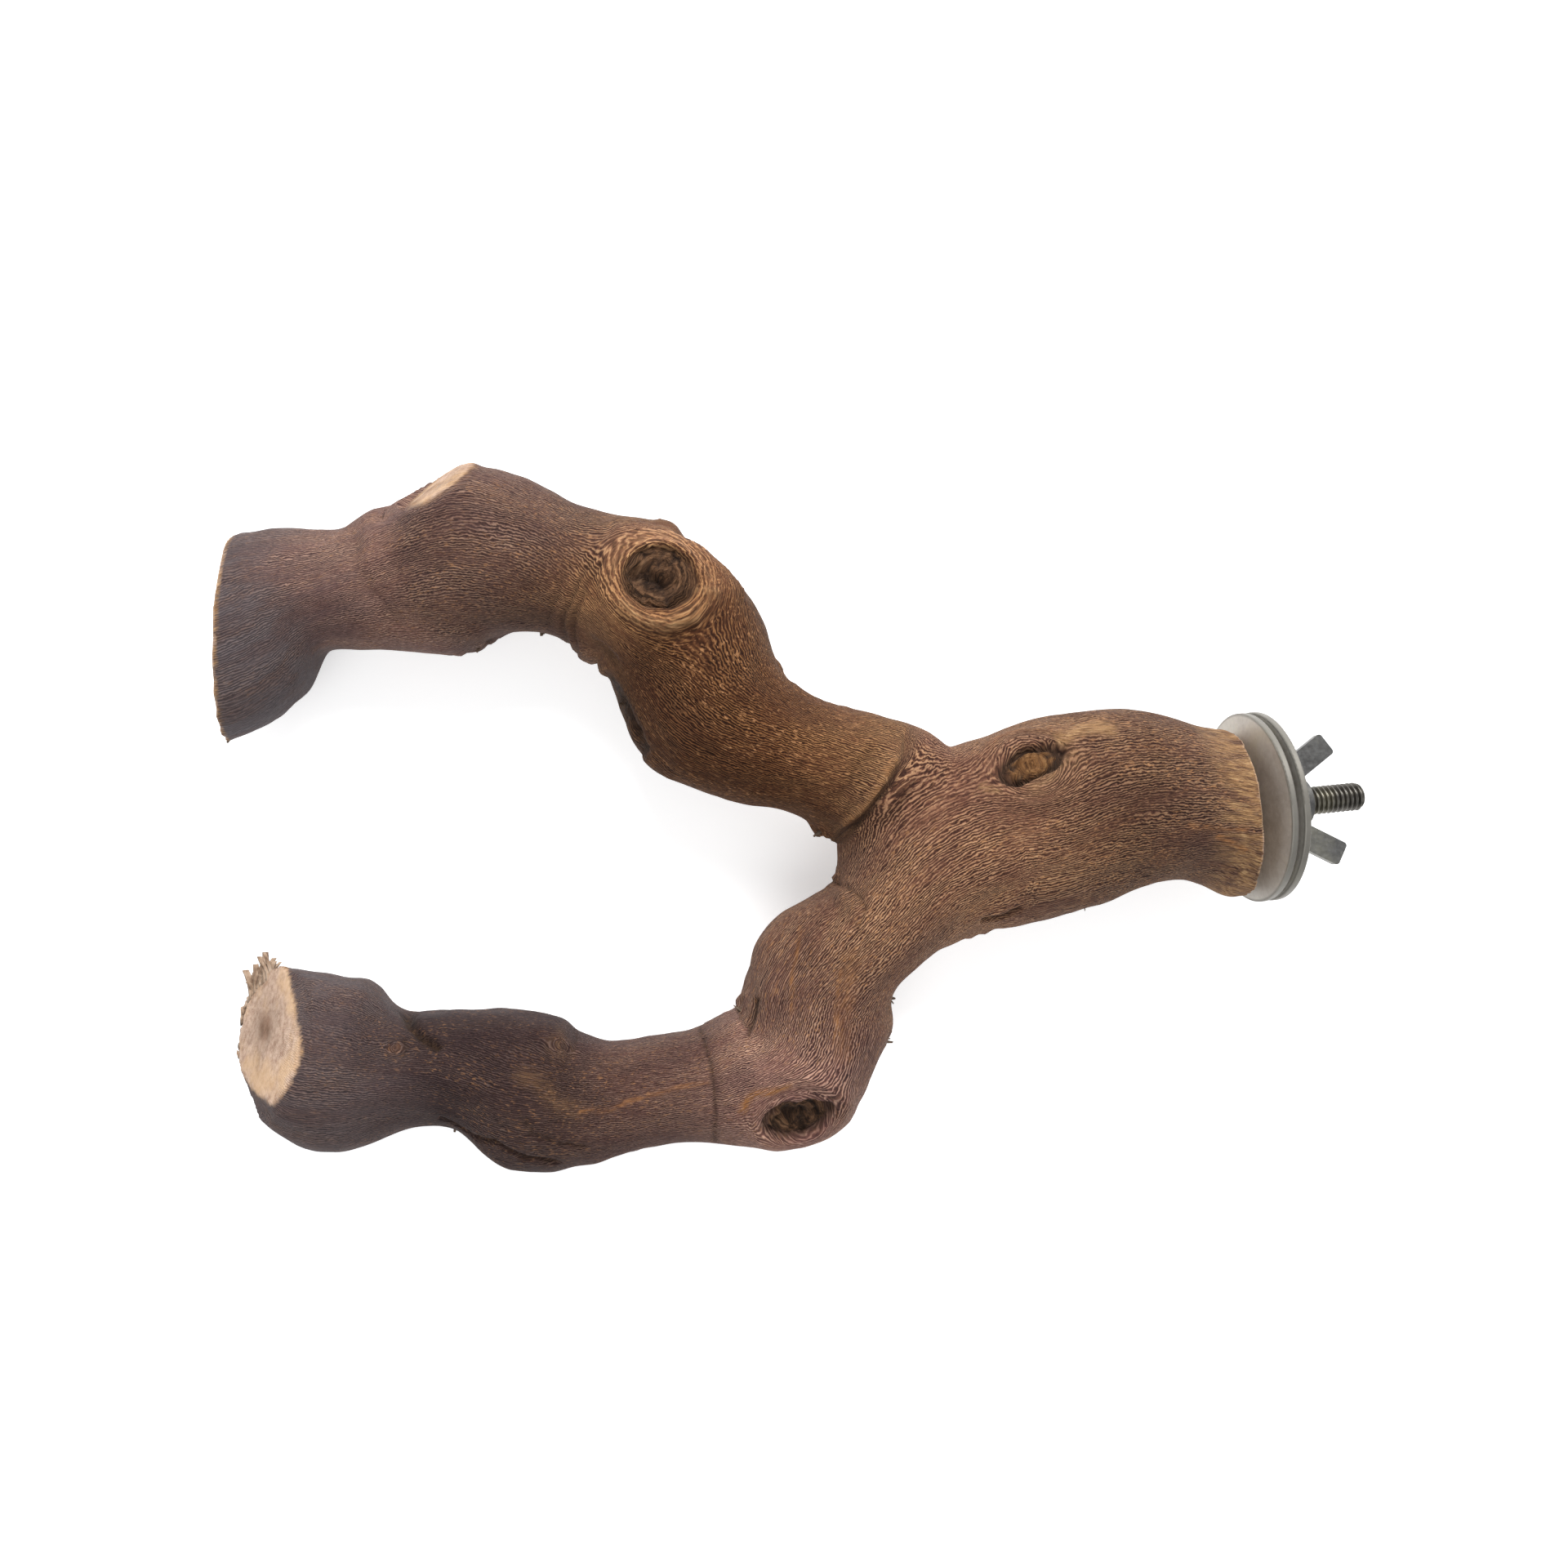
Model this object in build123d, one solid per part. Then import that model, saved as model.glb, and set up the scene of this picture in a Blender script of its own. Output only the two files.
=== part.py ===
from build123d import *
import os
from math import cos, pi, radians, sin
from typing import NamedTuple

# A perch for a bird cage: a forked natural branch with a hanger bolt, two wide washers and a wing nut
# Millimetres. The origin is on the bolt's axis, on the inner washer's cage side. +X runs out along the bolt, +Z up

# Hanger bolt
STUD_DIA = 4.0
STUD_REACH = 16.0
STUD_IN_WOOD = 5.0
STUD_TIP_CHAMFER = 0.5
SCREW_DIA = 3.4
SCREW_LENGTH = 18.0
SCREW_POINT = 5.0

# Washers, and the slot between them that takes the cage wires
WASHER_DIA = 26.5
WASHER_THICK = 0.9
WASHER_CLEARANCE = 0.25
WASHER_EDGE = 0.2
CAGE_SLOT = 0.8

# Wing nut
NUT_CLEARANCE = 0.05
NUT_BASE_DIA = 9.0
NUT_BASE_THICK = 0.9
NUT_HUB_DIA = 7.6
NUT_TOP_DIA = 6.4
NUT_HEIGHT = 6.0
WING_SPAN = 18.8
WING_RISE = 9.5
WING_ROOT_RADIUS = 3.5
WING_WIDTH = 3.4
WING_THICK = 1.1
WING_CORNER = 0.5
WING_TURN = -5.0

# Saw cuts: where each cut crosses the limb, and how its face leans up and swings to +Y from the bolt's axis
WOOD_CLEARANCE = 0.1
TRUNK_CUT_LEAN = 7.0
TRUNK_CUT_RIM = 11.0
UPPER_CUT_AT = (-135.6, 34.3, -2.0)
UPPER_CUT_LEAN = 8.0
UPPER_CUT_SWING = 4.0
LOWER_CUT_AT = (-135.9, -15.5, -2.0)
LOWER_CUT_LEAN = 36.0
LOWER_CUT_SWING = 25.0

# Each oval section of a limb is a closed spline through this many points
OVAL_POINTS = 12

# A pruning scar: a small flat face high on the upper limb's hump
SCAR_AT = (-106.0, 52.5, 3.2)
SCAR_OUTWARD = (-0.50, 0.77, 0.40)
SCAR_RADIUS = 9.0
SCAR_HEADROOM = 5.0

# A side shoot's stub on the upper limb's outer bend
STUB_AT = (-77.6, 43.2, 2.5)
STUB_RADIUS = 2.6

# Knots: the collar is a swelling with bevelled sides, and a worn core stands up in the socket
COLLAR_REACH = 5.0
COLLAR_BEVEL = 4.0
SOCKET_LIP = 0.8
SOCKET_TAPER = 1.3
CORE_DROP = 1.2


class Station(NamedTuple):
    """One oval section of a limb: its centre, and its half width in plan and half depth."""

    x: float
    y: float
    z: float
    half_width: float
    half_depth: float


class Knot(NamedTuple):
    """A dead side branch on a limb: a collar of grown-over wood round a socket."""

    stations: list
    at: tuple
    outward: tuple
    socket_radius: float
    socket_depth: float
    collar_radius: float
    collar_rise: float


# The trunk from its sawn end into the lower limb, measured from the washer's seat on the wood
TRUNK_AND_LOWER_LIMB = [
    Station(3.0, -0.9, 0.0, 10.8, 11.0),
    Station(-4.0, 0.4, 0.0, 10.8, 11.0),
    Station(-10.4, 2.1, 0.0, 11.2, 11.2),
    Station(-22.1, 2.2, 0.0, 13.6, 12.5),
    Station(-30.0, 1.1, 0.0, 13.3, 12.4),
    Station(-38.0, -0.1, 0.0, 13.2, 12.2),
    Station(-46.3, -2.4, 0.0, 13.0, 12.0),
    Station(-53.2, -10.6, -0.5, 8.0, 11.0),
    Station(-57.9, -13.8, -0.8, 9.0, 10.6),
    Station(-61.4, -18.5, -1.0, 10.9, 10.2),
    Station(-65.6, -27.0, -1.5, 10.7, 10.2),
    Station(-72.5, -29.8, -2.0, 9.5, 9.6),
    Station(-78.5, -30.0, -2.5, 8.0, 8.4),
    Station(-84.3, -30.3, -2.5, 7.4, 8.1),
    Station(-90.3, -30.8, -2.5, 7.8, 8.0),
    Station(-96.9, -30.2, -2.0, 9.2, 8.8),
    Station(-101.6, -28.7, -2.0, 10.3, 10.0),
    Station(-107.2, -25.5, -2.5, 8.7, 9.2),
    Station(-113.7, -23.8, -3.0, 7.7, 8.4),
    Station(-118.7, -23.8, -3.0, 7.9, 8.4),
    Station(-124.0, -22.8, -2.5, 10.7, 10.0),
    Station(-128.8, -20.7, -2.0, 11.3, 10.8),
    Station(-132.6, -17.6, -1.5, 9.4, 9.6),
    Station(-137.2, -14.9, -1.2, 8.0, 8.0),
    Station(-142.0, -11.9, -1.0, 6.5, 6.6),
    Station(-146.5, -8.5, -1.0, 4.9, 5.4),
]

# The upper limb, from inside the trunk to past its saw cut
UPPER_LIMB = [
    Station(-38.9, 2.5, 0.0, 6.7, 8.0),
    Station(-47.7, 7.3, 0.5, 8.3, 9.5),
    Station(-55.4, 10.4, 1.0, 8.3, 9.0),
    Station(-63.3, 13.7, 0.5, 8.4, 9.0),
    Station(-72.4, 19.4, 0.0, 11.4, 10.3),
    Station(-75.7, 27.6, 0.0, 11.3, 10.8),
    Station(-80.3, 35.7, 0.5, 9.5, 10.8),
    Station(-85.0, 37.6, -0.3, 9.8, 10.4),
    Station(-89.6, 40.0, -1.0, 9.2, 10.0),
    Station(-97.5, 43.0, -1.0, 11.2, 10.8),
    Station(-103.2, 44.0, -1.5, 12.2, 11.5),
    Station(-108.8, 41.1, -2.0, 10.6, 10.5),
    Station(-114.4, 41.2, -2.5, 9.1, 9.2),
    Station(-120.0, 40.7, -3.0, 7.9, 8.4),
    Station(-125.3, 41.2, -2.5, 8.5, 9.0),
    Station(-130.2, 39.0, -2.0, 11.0, 10.4),
    Station(-135.2, 36.3, -2.0, 13.1, 11.0),
    Station(-140.6, 35.0, -2.0, 13.3, 11.0),
    Station(-146.5, 34.6, -2.0, 12.6, 10.6),
]

KNOTS = [
    Knot(UPPER_LIMB, (-78.3, 37.1, 11.0), (0.05, 0.10, 1.0), 4.6, 2.6, 7.2, 1.0),
    Knot(TRUNK_AND_LOWER_LIMB, (-32.6, 9.0, 9.8), (0.0, 0.55, 0.83), 3.4, 2.2, 5.4, 0.7),
    Knot(TRUNK_AND_LOWER_LIMB, (-66.5, -34.0, 6.6), (0.12, -0.52, 0.85), 4.0, 2.6, 6.2, 0.7),
]


def seat_point(point):
    """Moves a point measured from the washer's seat on the wood into the part's frame."""
    return Vector(*point) + Vector(-WASHER_THICK, 0, 0)


def section(stations, index, swell):
    """The oval at one station, square to the limb's line in plan, drawn from its underside round."""
    here = stations[index]
    before = stations[max(index - 1, 0)]
    after = stations[min(index + 1, len(stations) - 1)]
    along = Vector(after.x - before.x, after.y - before.y, 0).normalized()
    across = Vector(-along.Y, along.X, 0)
    plane = Plane(origin=seat_point(here[:3]), x_dir=across, z_dir=along)
    wide = here.half_width + swell
    deep = here.half_depth + swell
    turns = [2 * pi * step / OVAL_POINTS for step in range(OVAL_POINTS)]
    rim = [(wide * sin(turn), -deep * cos(turn)) for turn in turns]
    return plane * make_face(Spline(*rim, periodic=True))


def limb(stations, swell=0.0):
    """A limb lofted through all its ovals, thicker all round by the swell."""
    return loft([section(stations, index, swell) for index in range(len(stations))])


def saw_cut(point, toward, lean, swing=0.0):
    """A saw cut's plane: it faces along X one way, turned up by its lean and to +Y by its swing."""
    level = cos(radians(lean))
    normal = Vector(toward * level * cos(radians(swing)), level * sin(radians(swing)), sin(radians(lean)))
    return Plane(origin=seat_point(point), z_dir=normal)


def trunk_and_lower_limb():
    """The trunk, cut to meet the washer at its lower rim, running on into the sawn lower limb."""
    low_rim = (-WOOD_CLEARANCE, 0, -TRUNK_CUT_RIM)
    trunk_cut = saw_cut(low_rim, 1, TRUNK_CUT_LEAN)
    lower_cut = saw_cut(LOWER_CUT_AT, -1, LOWER_CUT_LEAN, LOWER_CUT_SWING)
    wood = split(limb(TRUNK_AND_LOWER_LIMB), bisect_by=trunk_cut, keep=Keep.BOTTOM)
    return split(wood, bisect_by=lower_cut, keep=Keep.BOTTOM)


def upper_limb():
    """The upper limb, sawn off beyond its flare."""
    upper_cut = saw_cut(UPPER_CUT_AT, -1, UPPER_CUT_LEAN, UPPER_CUT_SWING)
    return split(limb(UPPER_LIMB), bisect_by=upper_cut, keep=Keep.BOTTOM)


def knot_plane(knot):
    """The plane across a knot, facing out of the limb."""
    return Plane(origin=seat_point(knot.at), z_dir=Vector(*knot.outward))


def knot_collar(knot):
    """The wood grown round a knot: the swollen limb, kept only inside a cone on the knot's axis."""
    base = knot.collar_radius + COLLAR_BEVEL
    top = knot.collar_radius - COLLAR_BEVEL
    cone = Cone(base, top, 2 * COLLAR_REACH)
    return limb(knot.stations, knot.collar_rise) & (knot_plane(knot) * cone)


def knot_socket(knot):
    """The dished socket: a revolved hollow with a flared lip, whose middle rises to the worn core."""
    lip_radius = knot.socket_radius + SOCKET_LIP
    headroom = knot.collar_rise + COLLAR_REACH
    profile = Polyline(
        (0, -CORE_DROP),
        (knot.socket_radius - SOCKET_TAPER, -knot.socket_depth),
        (knot.socket_radius, knot.collar_rise - SOCKET_LIP),
        (lip_radius, knot.collar_rise),
        (lip_radius, headroom),
        (0, headroom),
        close=True,
    )
    return knot_plane(knot) * revolve(Plane.XZ * make_face(profile), axis=Axis.Z)


def pruning_scar():
    """What the saw took off the hump: a round block standing on the flat scar."""
    plane = Plane(origin=seat_point(SCAR_AT), z_dir=Vector(*SCAR_OUTWARD))
    block = Cylinder(SCAR_RADIUS, SCAR_HEADROOM, align=(Align.CENTER, Align.CENTER, Align.MIN))
    return plane * block


def branch_fork(bolt):
    """The grown fork: two lofted limbs in one, sawn, with its knots, and drilled for the bolt."""
    wood = trunk_and_lower_limb() + upper_limb()
    wood += Pos(*seat_point(STUB_AT)) * Sphere(STUB_RADIUS)
    for knot in KNOTS:
        wood += knot_collar(knot)
    for knot in KNOTS:
        wood -= knot_socket(knot)
    wood -= pruning_scar()
    return wood - bolt


def hanger_bolt():
    """The double-ended bolt: a plain-walled machine stud, and a pointed screw end in the wood."""
    stud = STUD_DIA / 2
    screw = SCREW_DIA / 2
    stud_end = -WASHER_THICK - STUD_IN_WOOD
    screw_end = stud_end - SCREW_LENGTH
    profile = Polyline(
        (screw_end, 0),
        (screw_end + SCREW_POINT, screw),
        (stud_end, screw),
        (stud_end, stud),
        (STUD_REACH - STUD_TIP_CHAMFER, stud),
        (STUD_REACH, stud - STUD_TIP_CHAMFER),
        (STUD_REACH, 0),
        close=True,
    )
    return revolve(make_face(profile), axis=Axis.X)


def washer(start):
    """A wide flat washer with rounded rims, loose on the stud."""
    bore = STUD_DIA / 2 + WASHER_CLEARANCE
    ring = Circle(WASHER_DIA / 2) - Circle(bore)
    disc = extrude(Plane.YZ.offset(start) * ring, WASHER_THICK)
    rims = disc.edges().filter_by(GeomType.CIRCLE).group_by(SortBy.RADIUS)[-1]
    return fillet(rims, WASHER_EDGE)


def nut_hub():
    """The turned body of the wing nut: a base flange and a tapering hub, standing at X 0."""
    profile = Polyline(
        (0, 0),
        (0, NUT_BASE_DIA / 2),
        (NUT_BASE_THICK, NUT_BASE_DIA / 2),
        (NUT_BASE_THICK, NUT_HUB_DIA / 2),
        (NUT_HEIGHT, NUT_TOP_DIA / 2),
        (NUT_HEIGHT, 0),
        close=True,
    )
    return revolve(make_face(profile), axis=Axis.X)


def nut_wing():
    """One flat wing: a strip in a plane through the axis, from its root in the hub to its square tip."""
    outer_root = Vector(0, WING_ROOT_RADIUS)
    outer_tip = Vector(WING_RISE, WING_SPAN / 2)
    along = (outer_tip - outer_root).normalized()
    across = Vector(along.Y, -along.X) * WING_WIDTH
    outline = Polyline(outer_root, outer_tip, outer_tip + across, outer_root + across, close=True)
    plate = extrude(make_face(outline), WING_THICK / 2, both=True)
    corners = plate.edges().filter_by(Axis.Z).sort_by(Axis.Y)[-2:]
    return fillet(corners, WING_CORNER)


def wing_nut(start):
    """The wing nut on the outer washer: hub, two wings and the bore over the stud's thread."""
    wing = nut_wing()
    body = nut_hub() + wing + Rot(180, 0, 0) * wing
    bore = Rot(0, 90, 0) * Cylinder(STUD_DIA / 2 + NUT_CLEARANCE, 2 * (WING_RISE + WING_WIDTH))
    return Pos(start, 0, 0) * (Rot(WING_TURN, 0, 0) * (body - bore))


os.makedirs("parts", exist_ok=True)
bolt = hanger_bolt()
pieces = {
    "branch_fork": branch_fork(bolt),
    "hanger_bolt": bolt,
    "inner_washer": washer(-WASHER_THICK),
    "outer_washer": washer(CAGE_SLOT),
    "wing_nut": wing_nut(CAGE_SLOT + WASHER_THICK),
}
for node, solid in pieces.items():
    export_step(solid, f"parts/{node}.step")
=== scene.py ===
import math
from typing import NamedTuple

import bmesh
import bpy
import numpy as np
from mathutils import Matrix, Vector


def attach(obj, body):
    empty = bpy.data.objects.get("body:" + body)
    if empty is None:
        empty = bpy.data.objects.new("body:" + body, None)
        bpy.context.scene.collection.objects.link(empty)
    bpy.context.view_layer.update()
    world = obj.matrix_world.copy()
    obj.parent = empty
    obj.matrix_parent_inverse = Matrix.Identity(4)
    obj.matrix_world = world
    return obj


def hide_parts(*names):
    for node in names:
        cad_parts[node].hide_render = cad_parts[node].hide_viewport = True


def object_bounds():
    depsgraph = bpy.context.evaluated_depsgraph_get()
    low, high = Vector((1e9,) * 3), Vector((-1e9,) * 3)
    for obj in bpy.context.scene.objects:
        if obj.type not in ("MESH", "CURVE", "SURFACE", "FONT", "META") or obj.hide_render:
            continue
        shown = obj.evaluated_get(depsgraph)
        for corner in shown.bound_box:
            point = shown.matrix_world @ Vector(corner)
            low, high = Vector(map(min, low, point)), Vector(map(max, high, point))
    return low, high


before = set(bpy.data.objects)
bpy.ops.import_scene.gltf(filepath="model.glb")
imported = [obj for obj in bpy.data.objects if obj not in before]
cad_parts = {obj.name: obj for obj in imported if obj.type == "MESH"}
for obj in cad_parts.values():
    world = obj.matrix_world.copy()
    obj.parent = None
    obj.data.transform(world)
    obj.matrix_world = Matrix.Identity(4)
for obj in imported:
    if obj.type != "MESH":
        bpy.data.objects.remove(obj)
cad_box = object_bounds()

# A forked branch perch for a bird cage. Sizes are in millimetres in the solids' frame, and MM turns them into metres
MM = 0.001
# Further than any distance on the perch
FAR = 1e9
# Cells along each side of the lattice that noise is read from
LATTICE = 64

# The photograph's camera: where it stands, its tilt from straight down, its roll, and its focal length in pixels
CAMERA_AT = (-79.7, 9.5, 165.7)
CAMERA_TILT = math.radians(5.0)
CAMERA_ROLL = math.radians(5.5)
FOCAL_PIXELS = 1500.0
IMAGE_PIXELS = 1920.0
SENSOR = 36.0

# The branch's skin: the mesh spacing, the rounds of easing, the ridges round its bark, and the middle
# lines of its limbs
SKIN_SPACING = 0.52
SKIN_ROUNDS = 4
HEALED_ROUNDS = 12
BARK_LINES = 215
TRUNK_LINE = [(8, -2, 0), (-1, -0.6, 0), (-12, 1.8, 0), (-24, 2.2, 0), (-36, 0.8, 0)]
UPPER_LINE = TRUNK_LINE + [
    (-48, 7, 0.5), (-57, 11, 1), (-65, 14.5, 0.5), (-73, 20, 0), (-77.5, 28, 0), (-82, 36, 0.5), (-91, 40.5, -1),
    (-104, 43.3, -1.5), (-115, 41.8, -2.5), (-126, 39.8, -2.5), (-136, 36.5, -2), (-150, 35, -2),
]
LOWER_LINE = TRUNK_LINE + [
    (-47, -3.5, 0), (-55, -11, -0.5), (-62.5, -19, -1), (-66.5, -28, -1.5), (-75, -31, -2.2), (-91, -30.8, -2.5),
    (-103, -28.8, -2), (-115, -24.2, -3), (-129.5, -20.7, -2), (-138.1, -14.9, -1.2), (-147.4, -8.5, -1),
]
# The bark's seam at the fork, where the upper limb's grain meets the trunk's, its reach, and how softly
# the tones meet
FORK_SEAM = ((-50.4, 11.0), (-57.4, 2.8))
FORK_REACH = 20.0
TONE_BLEND = 5.0
# How the bark goes along each limb: a distance from the start of its middle line, a lightness, a plum tint
# (orange where it is below nought), a grey haze and a coarseness. The lightness and tint are partly the wood's own
# colour and partly painted light and shade, and the grey haze is a painted pale glow of light
UPPER_TONES_AND_LIGHT = [
    (0, 0.64, 0.6, 0.10, 0.9), (30, 0.56, 0.3, 0.0, 1.0), (48, 1.08, 0.3, 0.0, 1.0), (60, 0.78, 0.0, 0.0, 1.0),
    (76, 0.45, -0.55, 0.0, 1.0), (95, 0.38, -0.45, 0.0, 1.0), (106, 0.90, 0.0, 0.0, 0.8), (116, 0.56, 0.5, 0.05, 0.8),
    (122, 0.60, 0.7, 0.1, 0.7), (132, 0.70, 0.8, 0.15, 0.6), (138, 1.15, 0.9, 0.2, 0.6), (146, 1.00, 0.9, 0.35, 0.6),
    (152, 0.54, 0.9, 0.65, 0.5), (165, 0.52, 1.1, 0.85, 0.5),
]
LOWER_TONES_AND_LIGHT = [
    (0, 0.64, 0.6, 0.10, 0.9), (30, 0.56, 0.3, 0.0, 1.0), (55, 1.12, 0.3, 0.0, 1.0), (72, 0.86, 0.6, 0.0, 1.0),
    (84, 0.84, 0.9, 0.0, 0.9), (93, 1.50, 0.9, 0.15, 0.8), (103, 0.74, 1.0, 0.05, 0.8), (113, 0.56, 1.1, 0.0, 0.7),
    (124, 0.28, 1.4, 0.0, 0.5), (138, 0.21, 1.8, 0.05, 0.4), (150, 0.46, 1.1, 0.45, 0.6), (165, 0.54, 1.1, 0.6, 0.6),
]
PLUM_TINT = (0.0, 0.11, 0.72)
ORANGE_TINT = (0.0, 0.40, 0.80)
# How far the tones wander along a limb
TONE_WANDER = 10.0
# The bark's lumps: a height, a spacing and a seed each, and the noise's mean
LUMPS = [(0.95, 8.0, 3), (0.40, 2.8, 4)]
LUMP_MEAN = 0.47
# Its lengthwise ridges: a weight, a spacing along, left and up, and a seed each, and their depth
RIDGES = [(1.0, (7.0, 1.1, 1.1), 5), (0.6, (4.0, 0.8, 0.8), 6)]
RIDGE_DEPTH = 0.03
# How far the skin stays inside the solids' box
BOX_MARGIN = 0.01
# The flanks of the limbs' outer halves, from this distance on, have more painted haze than their tops: a pale
# glow of light
FLANK_PAINTED_HAZE = (95.0, 0.20)
# The upper limb's sawn end leans in plan by this much for each millimetre across it
UPPER_END_LEAN = 0.075


class Knot(NamedTuple):
    """A dead side branch: its place, the way it faces, and the way its opening lies in plan. The opening has half a
    length, a width as a share of that and a lip's height, and a core with a share of it, a height and an orange tint.
    The collar round it has a radius, a reach for bending the grain, and a paleness."""

    at: tuple
    outward: tuple
    lie: tuple
    socket: float
    narrow: float
    lip: float
    core: float
    core_height: float
    orange: float
    collar: float
    grain_bend: float
    pale: float


class SawCut(NamedTuple):
    """A sawn face: a point on it, the way it faces, how far its frayed rim runs back, its reach
    and how bare it is."""

    at: tuple
    facing: tuple
    frayed: float
    reach: float
    bare: float


class Mark(NamedTuple):
    """A line on the bark in plan: its points, half its width, its height, and how dark, pale and orange it is.
    Its dark is painted shade, mostly in grooves and cracks.
    """

    line: list
    half_width: float
    height: float
    dark: float = 0.0
    pale: float = 0.0
    orange: float = 0.0


KNOTS = [
    Knot((-79.2, 37.1, 11.0), (0.05, 0.10, 1.0), (1.0, 0.1, 0.0), 4.6, 0.90, 0.5, 0.92, -1.2, 0.15, 6.3, 7.6, 0.16),
    Knot((-33.5, 9.3, 9.8), (0.0, 0.55, 0.83), (0.91, 0.41, 0.0), 4.9, 0.52, 0.0, 0.78, -0.6, 1.0, 5.0, 4.4, 0.06),
    Knot((-67.9, -34.4, 6.6), (0.12, -0.52, 0.85), (0.99, 0.11, 0.0),
         4.8, 0.70, 0.3, 0.88, -1.3, 0.10, 5.8, 4.8, 0.05),
    Knot((-97.9, -21.7, 3.5), (0.0, 0.7, 0.7), (1.0, 0.0, 0.0), 0.0, 1.0, 0.0, 0.0, 0.0, 0.0, 1.6, 1.3, 0.12),
    Knot((-118.8, -19.6, 4.0), (0.0, 0.5, 0.85), (1.0, 0.0, 0.0), 0.0, 1.0, 0.0, 0.0, 0.0, 0.0, 0.9, 0.9, 0.0),
]
# How fast the lip falls away with the square of the distance, and the height of the groove round a core
LIP_ROUND = 24.0
MOAT_HEIGHT = -1.7


def facing(toward, lean, swing):
    """A saw cut's direction along X one way, turned up by its lean and to +Y by its swing, in degrees."""
    lean, swing = math.radians(lean), math.radians(swing)
    return (toward * math.cos(lean) * math.cos(swing), math.cos(lean) * math.sin(swing), math.sin(lean))


# The sawn ends, and the scar of a sawn side shoot on the upper limb
TRUNK_END = SawCut((-1.0, 0.0, -11.0), facing(1, 7, 0), 7.5, 45.0, 1.0)
UPPER_END = SawCut((-136.5, 34.3, -2.0), facing(-1, 8, 4), 0.7, 36.0, 1.0)
LOWER_END = SawCut((-136.8, -15.5, -2.0), facing(-1, 36, 25), 0.9, 36.0, 1.0)
SHOOT_SCAR = SawCut((-105.2, 53.6, 3.2), (-0.50, 0.77, 0.40), 0.9, 7.5, 0.55)
SAW_CUTS = [TRUNK_END, UPPER_END, LOWER_END, SHOOT_SCAR]

# Places where the wood has healed smooth: a point and a radius
HEALED = [((-106.9, 52.5, 3.2), 9.0), ((-78.5, 43.8, 2.5), 3.5), ((-53.0, 8.0, 9.0), 13.0)]

# The lower limb's bare sawn face ends at this line in plan, and outside it the wood keeps its bark and falls away
LOWER_FACE_EDGE = [
    (-133.4, -7.9), (-131.5, -11.9), (-130.0, -15.2), (-129.2, -18.0), (-130.2, -20.6), (-132.0, -22.9),
    (-133.9, -24.4), (-138.2, -23.3), (-141.4, -21.4),
]
LOWER_FACE_FALL = 0.60

# Swells and hollows at the limbs' edges: a point, a radius and a height
SWELLS = [
    ((-127.3, 26.5, -2.0), 6.0, -1.1), ((-98.7, 31.6, -3.0), 6.0, -0.9), ((-93.4, 31.0, -3.0), 5.0, -0.9),
    ((-88.9, 26.9, 2.0), 4.0, 1.2), ((-77.9, 9.9, 0.0), 6.0, -0.7), ((-71.5, 7.3, 0.0), 6.0, -0.6),
    ((-60.6, 1.8, 0.0), 3.5, 1.2), ((-70.5, -10.8, 0.0), 4.0, 1.0), ((-73.5, -16.0, 0.0), 4.0, -1.2),
    ((-54.9, -18.1, 0.0), 4.5, -1.2), ((-56.0, -29.1, 0.0), 5.0, -1.2), ((-63.6, -38.3, 0.0), 5.0, 1.0),
    ((-18.3, -9.5, 0.0), 6.0, -0.8), ((-69.6, 39.1, 0.0), 9.0, 0.6), ((-78.2, 46.7, 0.0), 3.0, 0.8),
    ((-114.0, 50.8, 0.0), 4.5, 1.2), ((-106.7, 55.4, 0.0), 4.0, 0.7), ((-95.5, 53.8, 0.0), 7.0, -0.8),
    ((-137.2, -28.3, -2.0), 5.0, -1.0), ((-129.2, -32.0, -2.0), 6.0, 0.8), ((-105.3, -38.1, -2.0), 5.0, -0.5),
    ((-96.7, -38.4, -2.0), 5.0, -0.8),
]

# Places where the bark is broken and crumbly: a point, a radius and how far it stands in and out
RAGGED = [
    ((-60.0, 3.6, -1.0), 4.5, 1.5), ((-58.5, -4.5, 0.0), 3.5, 0.9), ((-73.5, -20.5, -1.0), 4.0, 1.2),
    ((-40.0, -13.0, -3.0), 8.0, 1.0), ((-28.0, -11.5, -4.0), 6.0, 0.8), ((-55.0, -25.5, -3.0), 5.0, 1.0),
    ((-62.0, -36.0, -4.0), 5.0, 0.9), ((-75.0, -38.5, -5.0), 6.0, 0.8), ((-92.0, -38.0, -5.0), 5.0, 0.6),
    ((-84.5, 21.0, 2.0), 5.0, 1.0), ((-91.0, 30.5, -3.0), 6.0, 0.8), ((-104.0, 31.0, -4.0), 6.0, 0.9),
    ((-139.0, 24.0, -6.0), 4.0, 0.7), ((-9.0, -9.0, -4.0), 4.0, 0.5), ((-70.0, 15.0, -2.0), 4.0, 0.6),
    ((-64.0, 25.0, 0.0), 5.0, 0.5), ((-57.0, 20.5, 0.0), 5.0, 0.4), ((-71.0, 40.0, 1.0), 5.0, 0.3),
]
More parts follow.
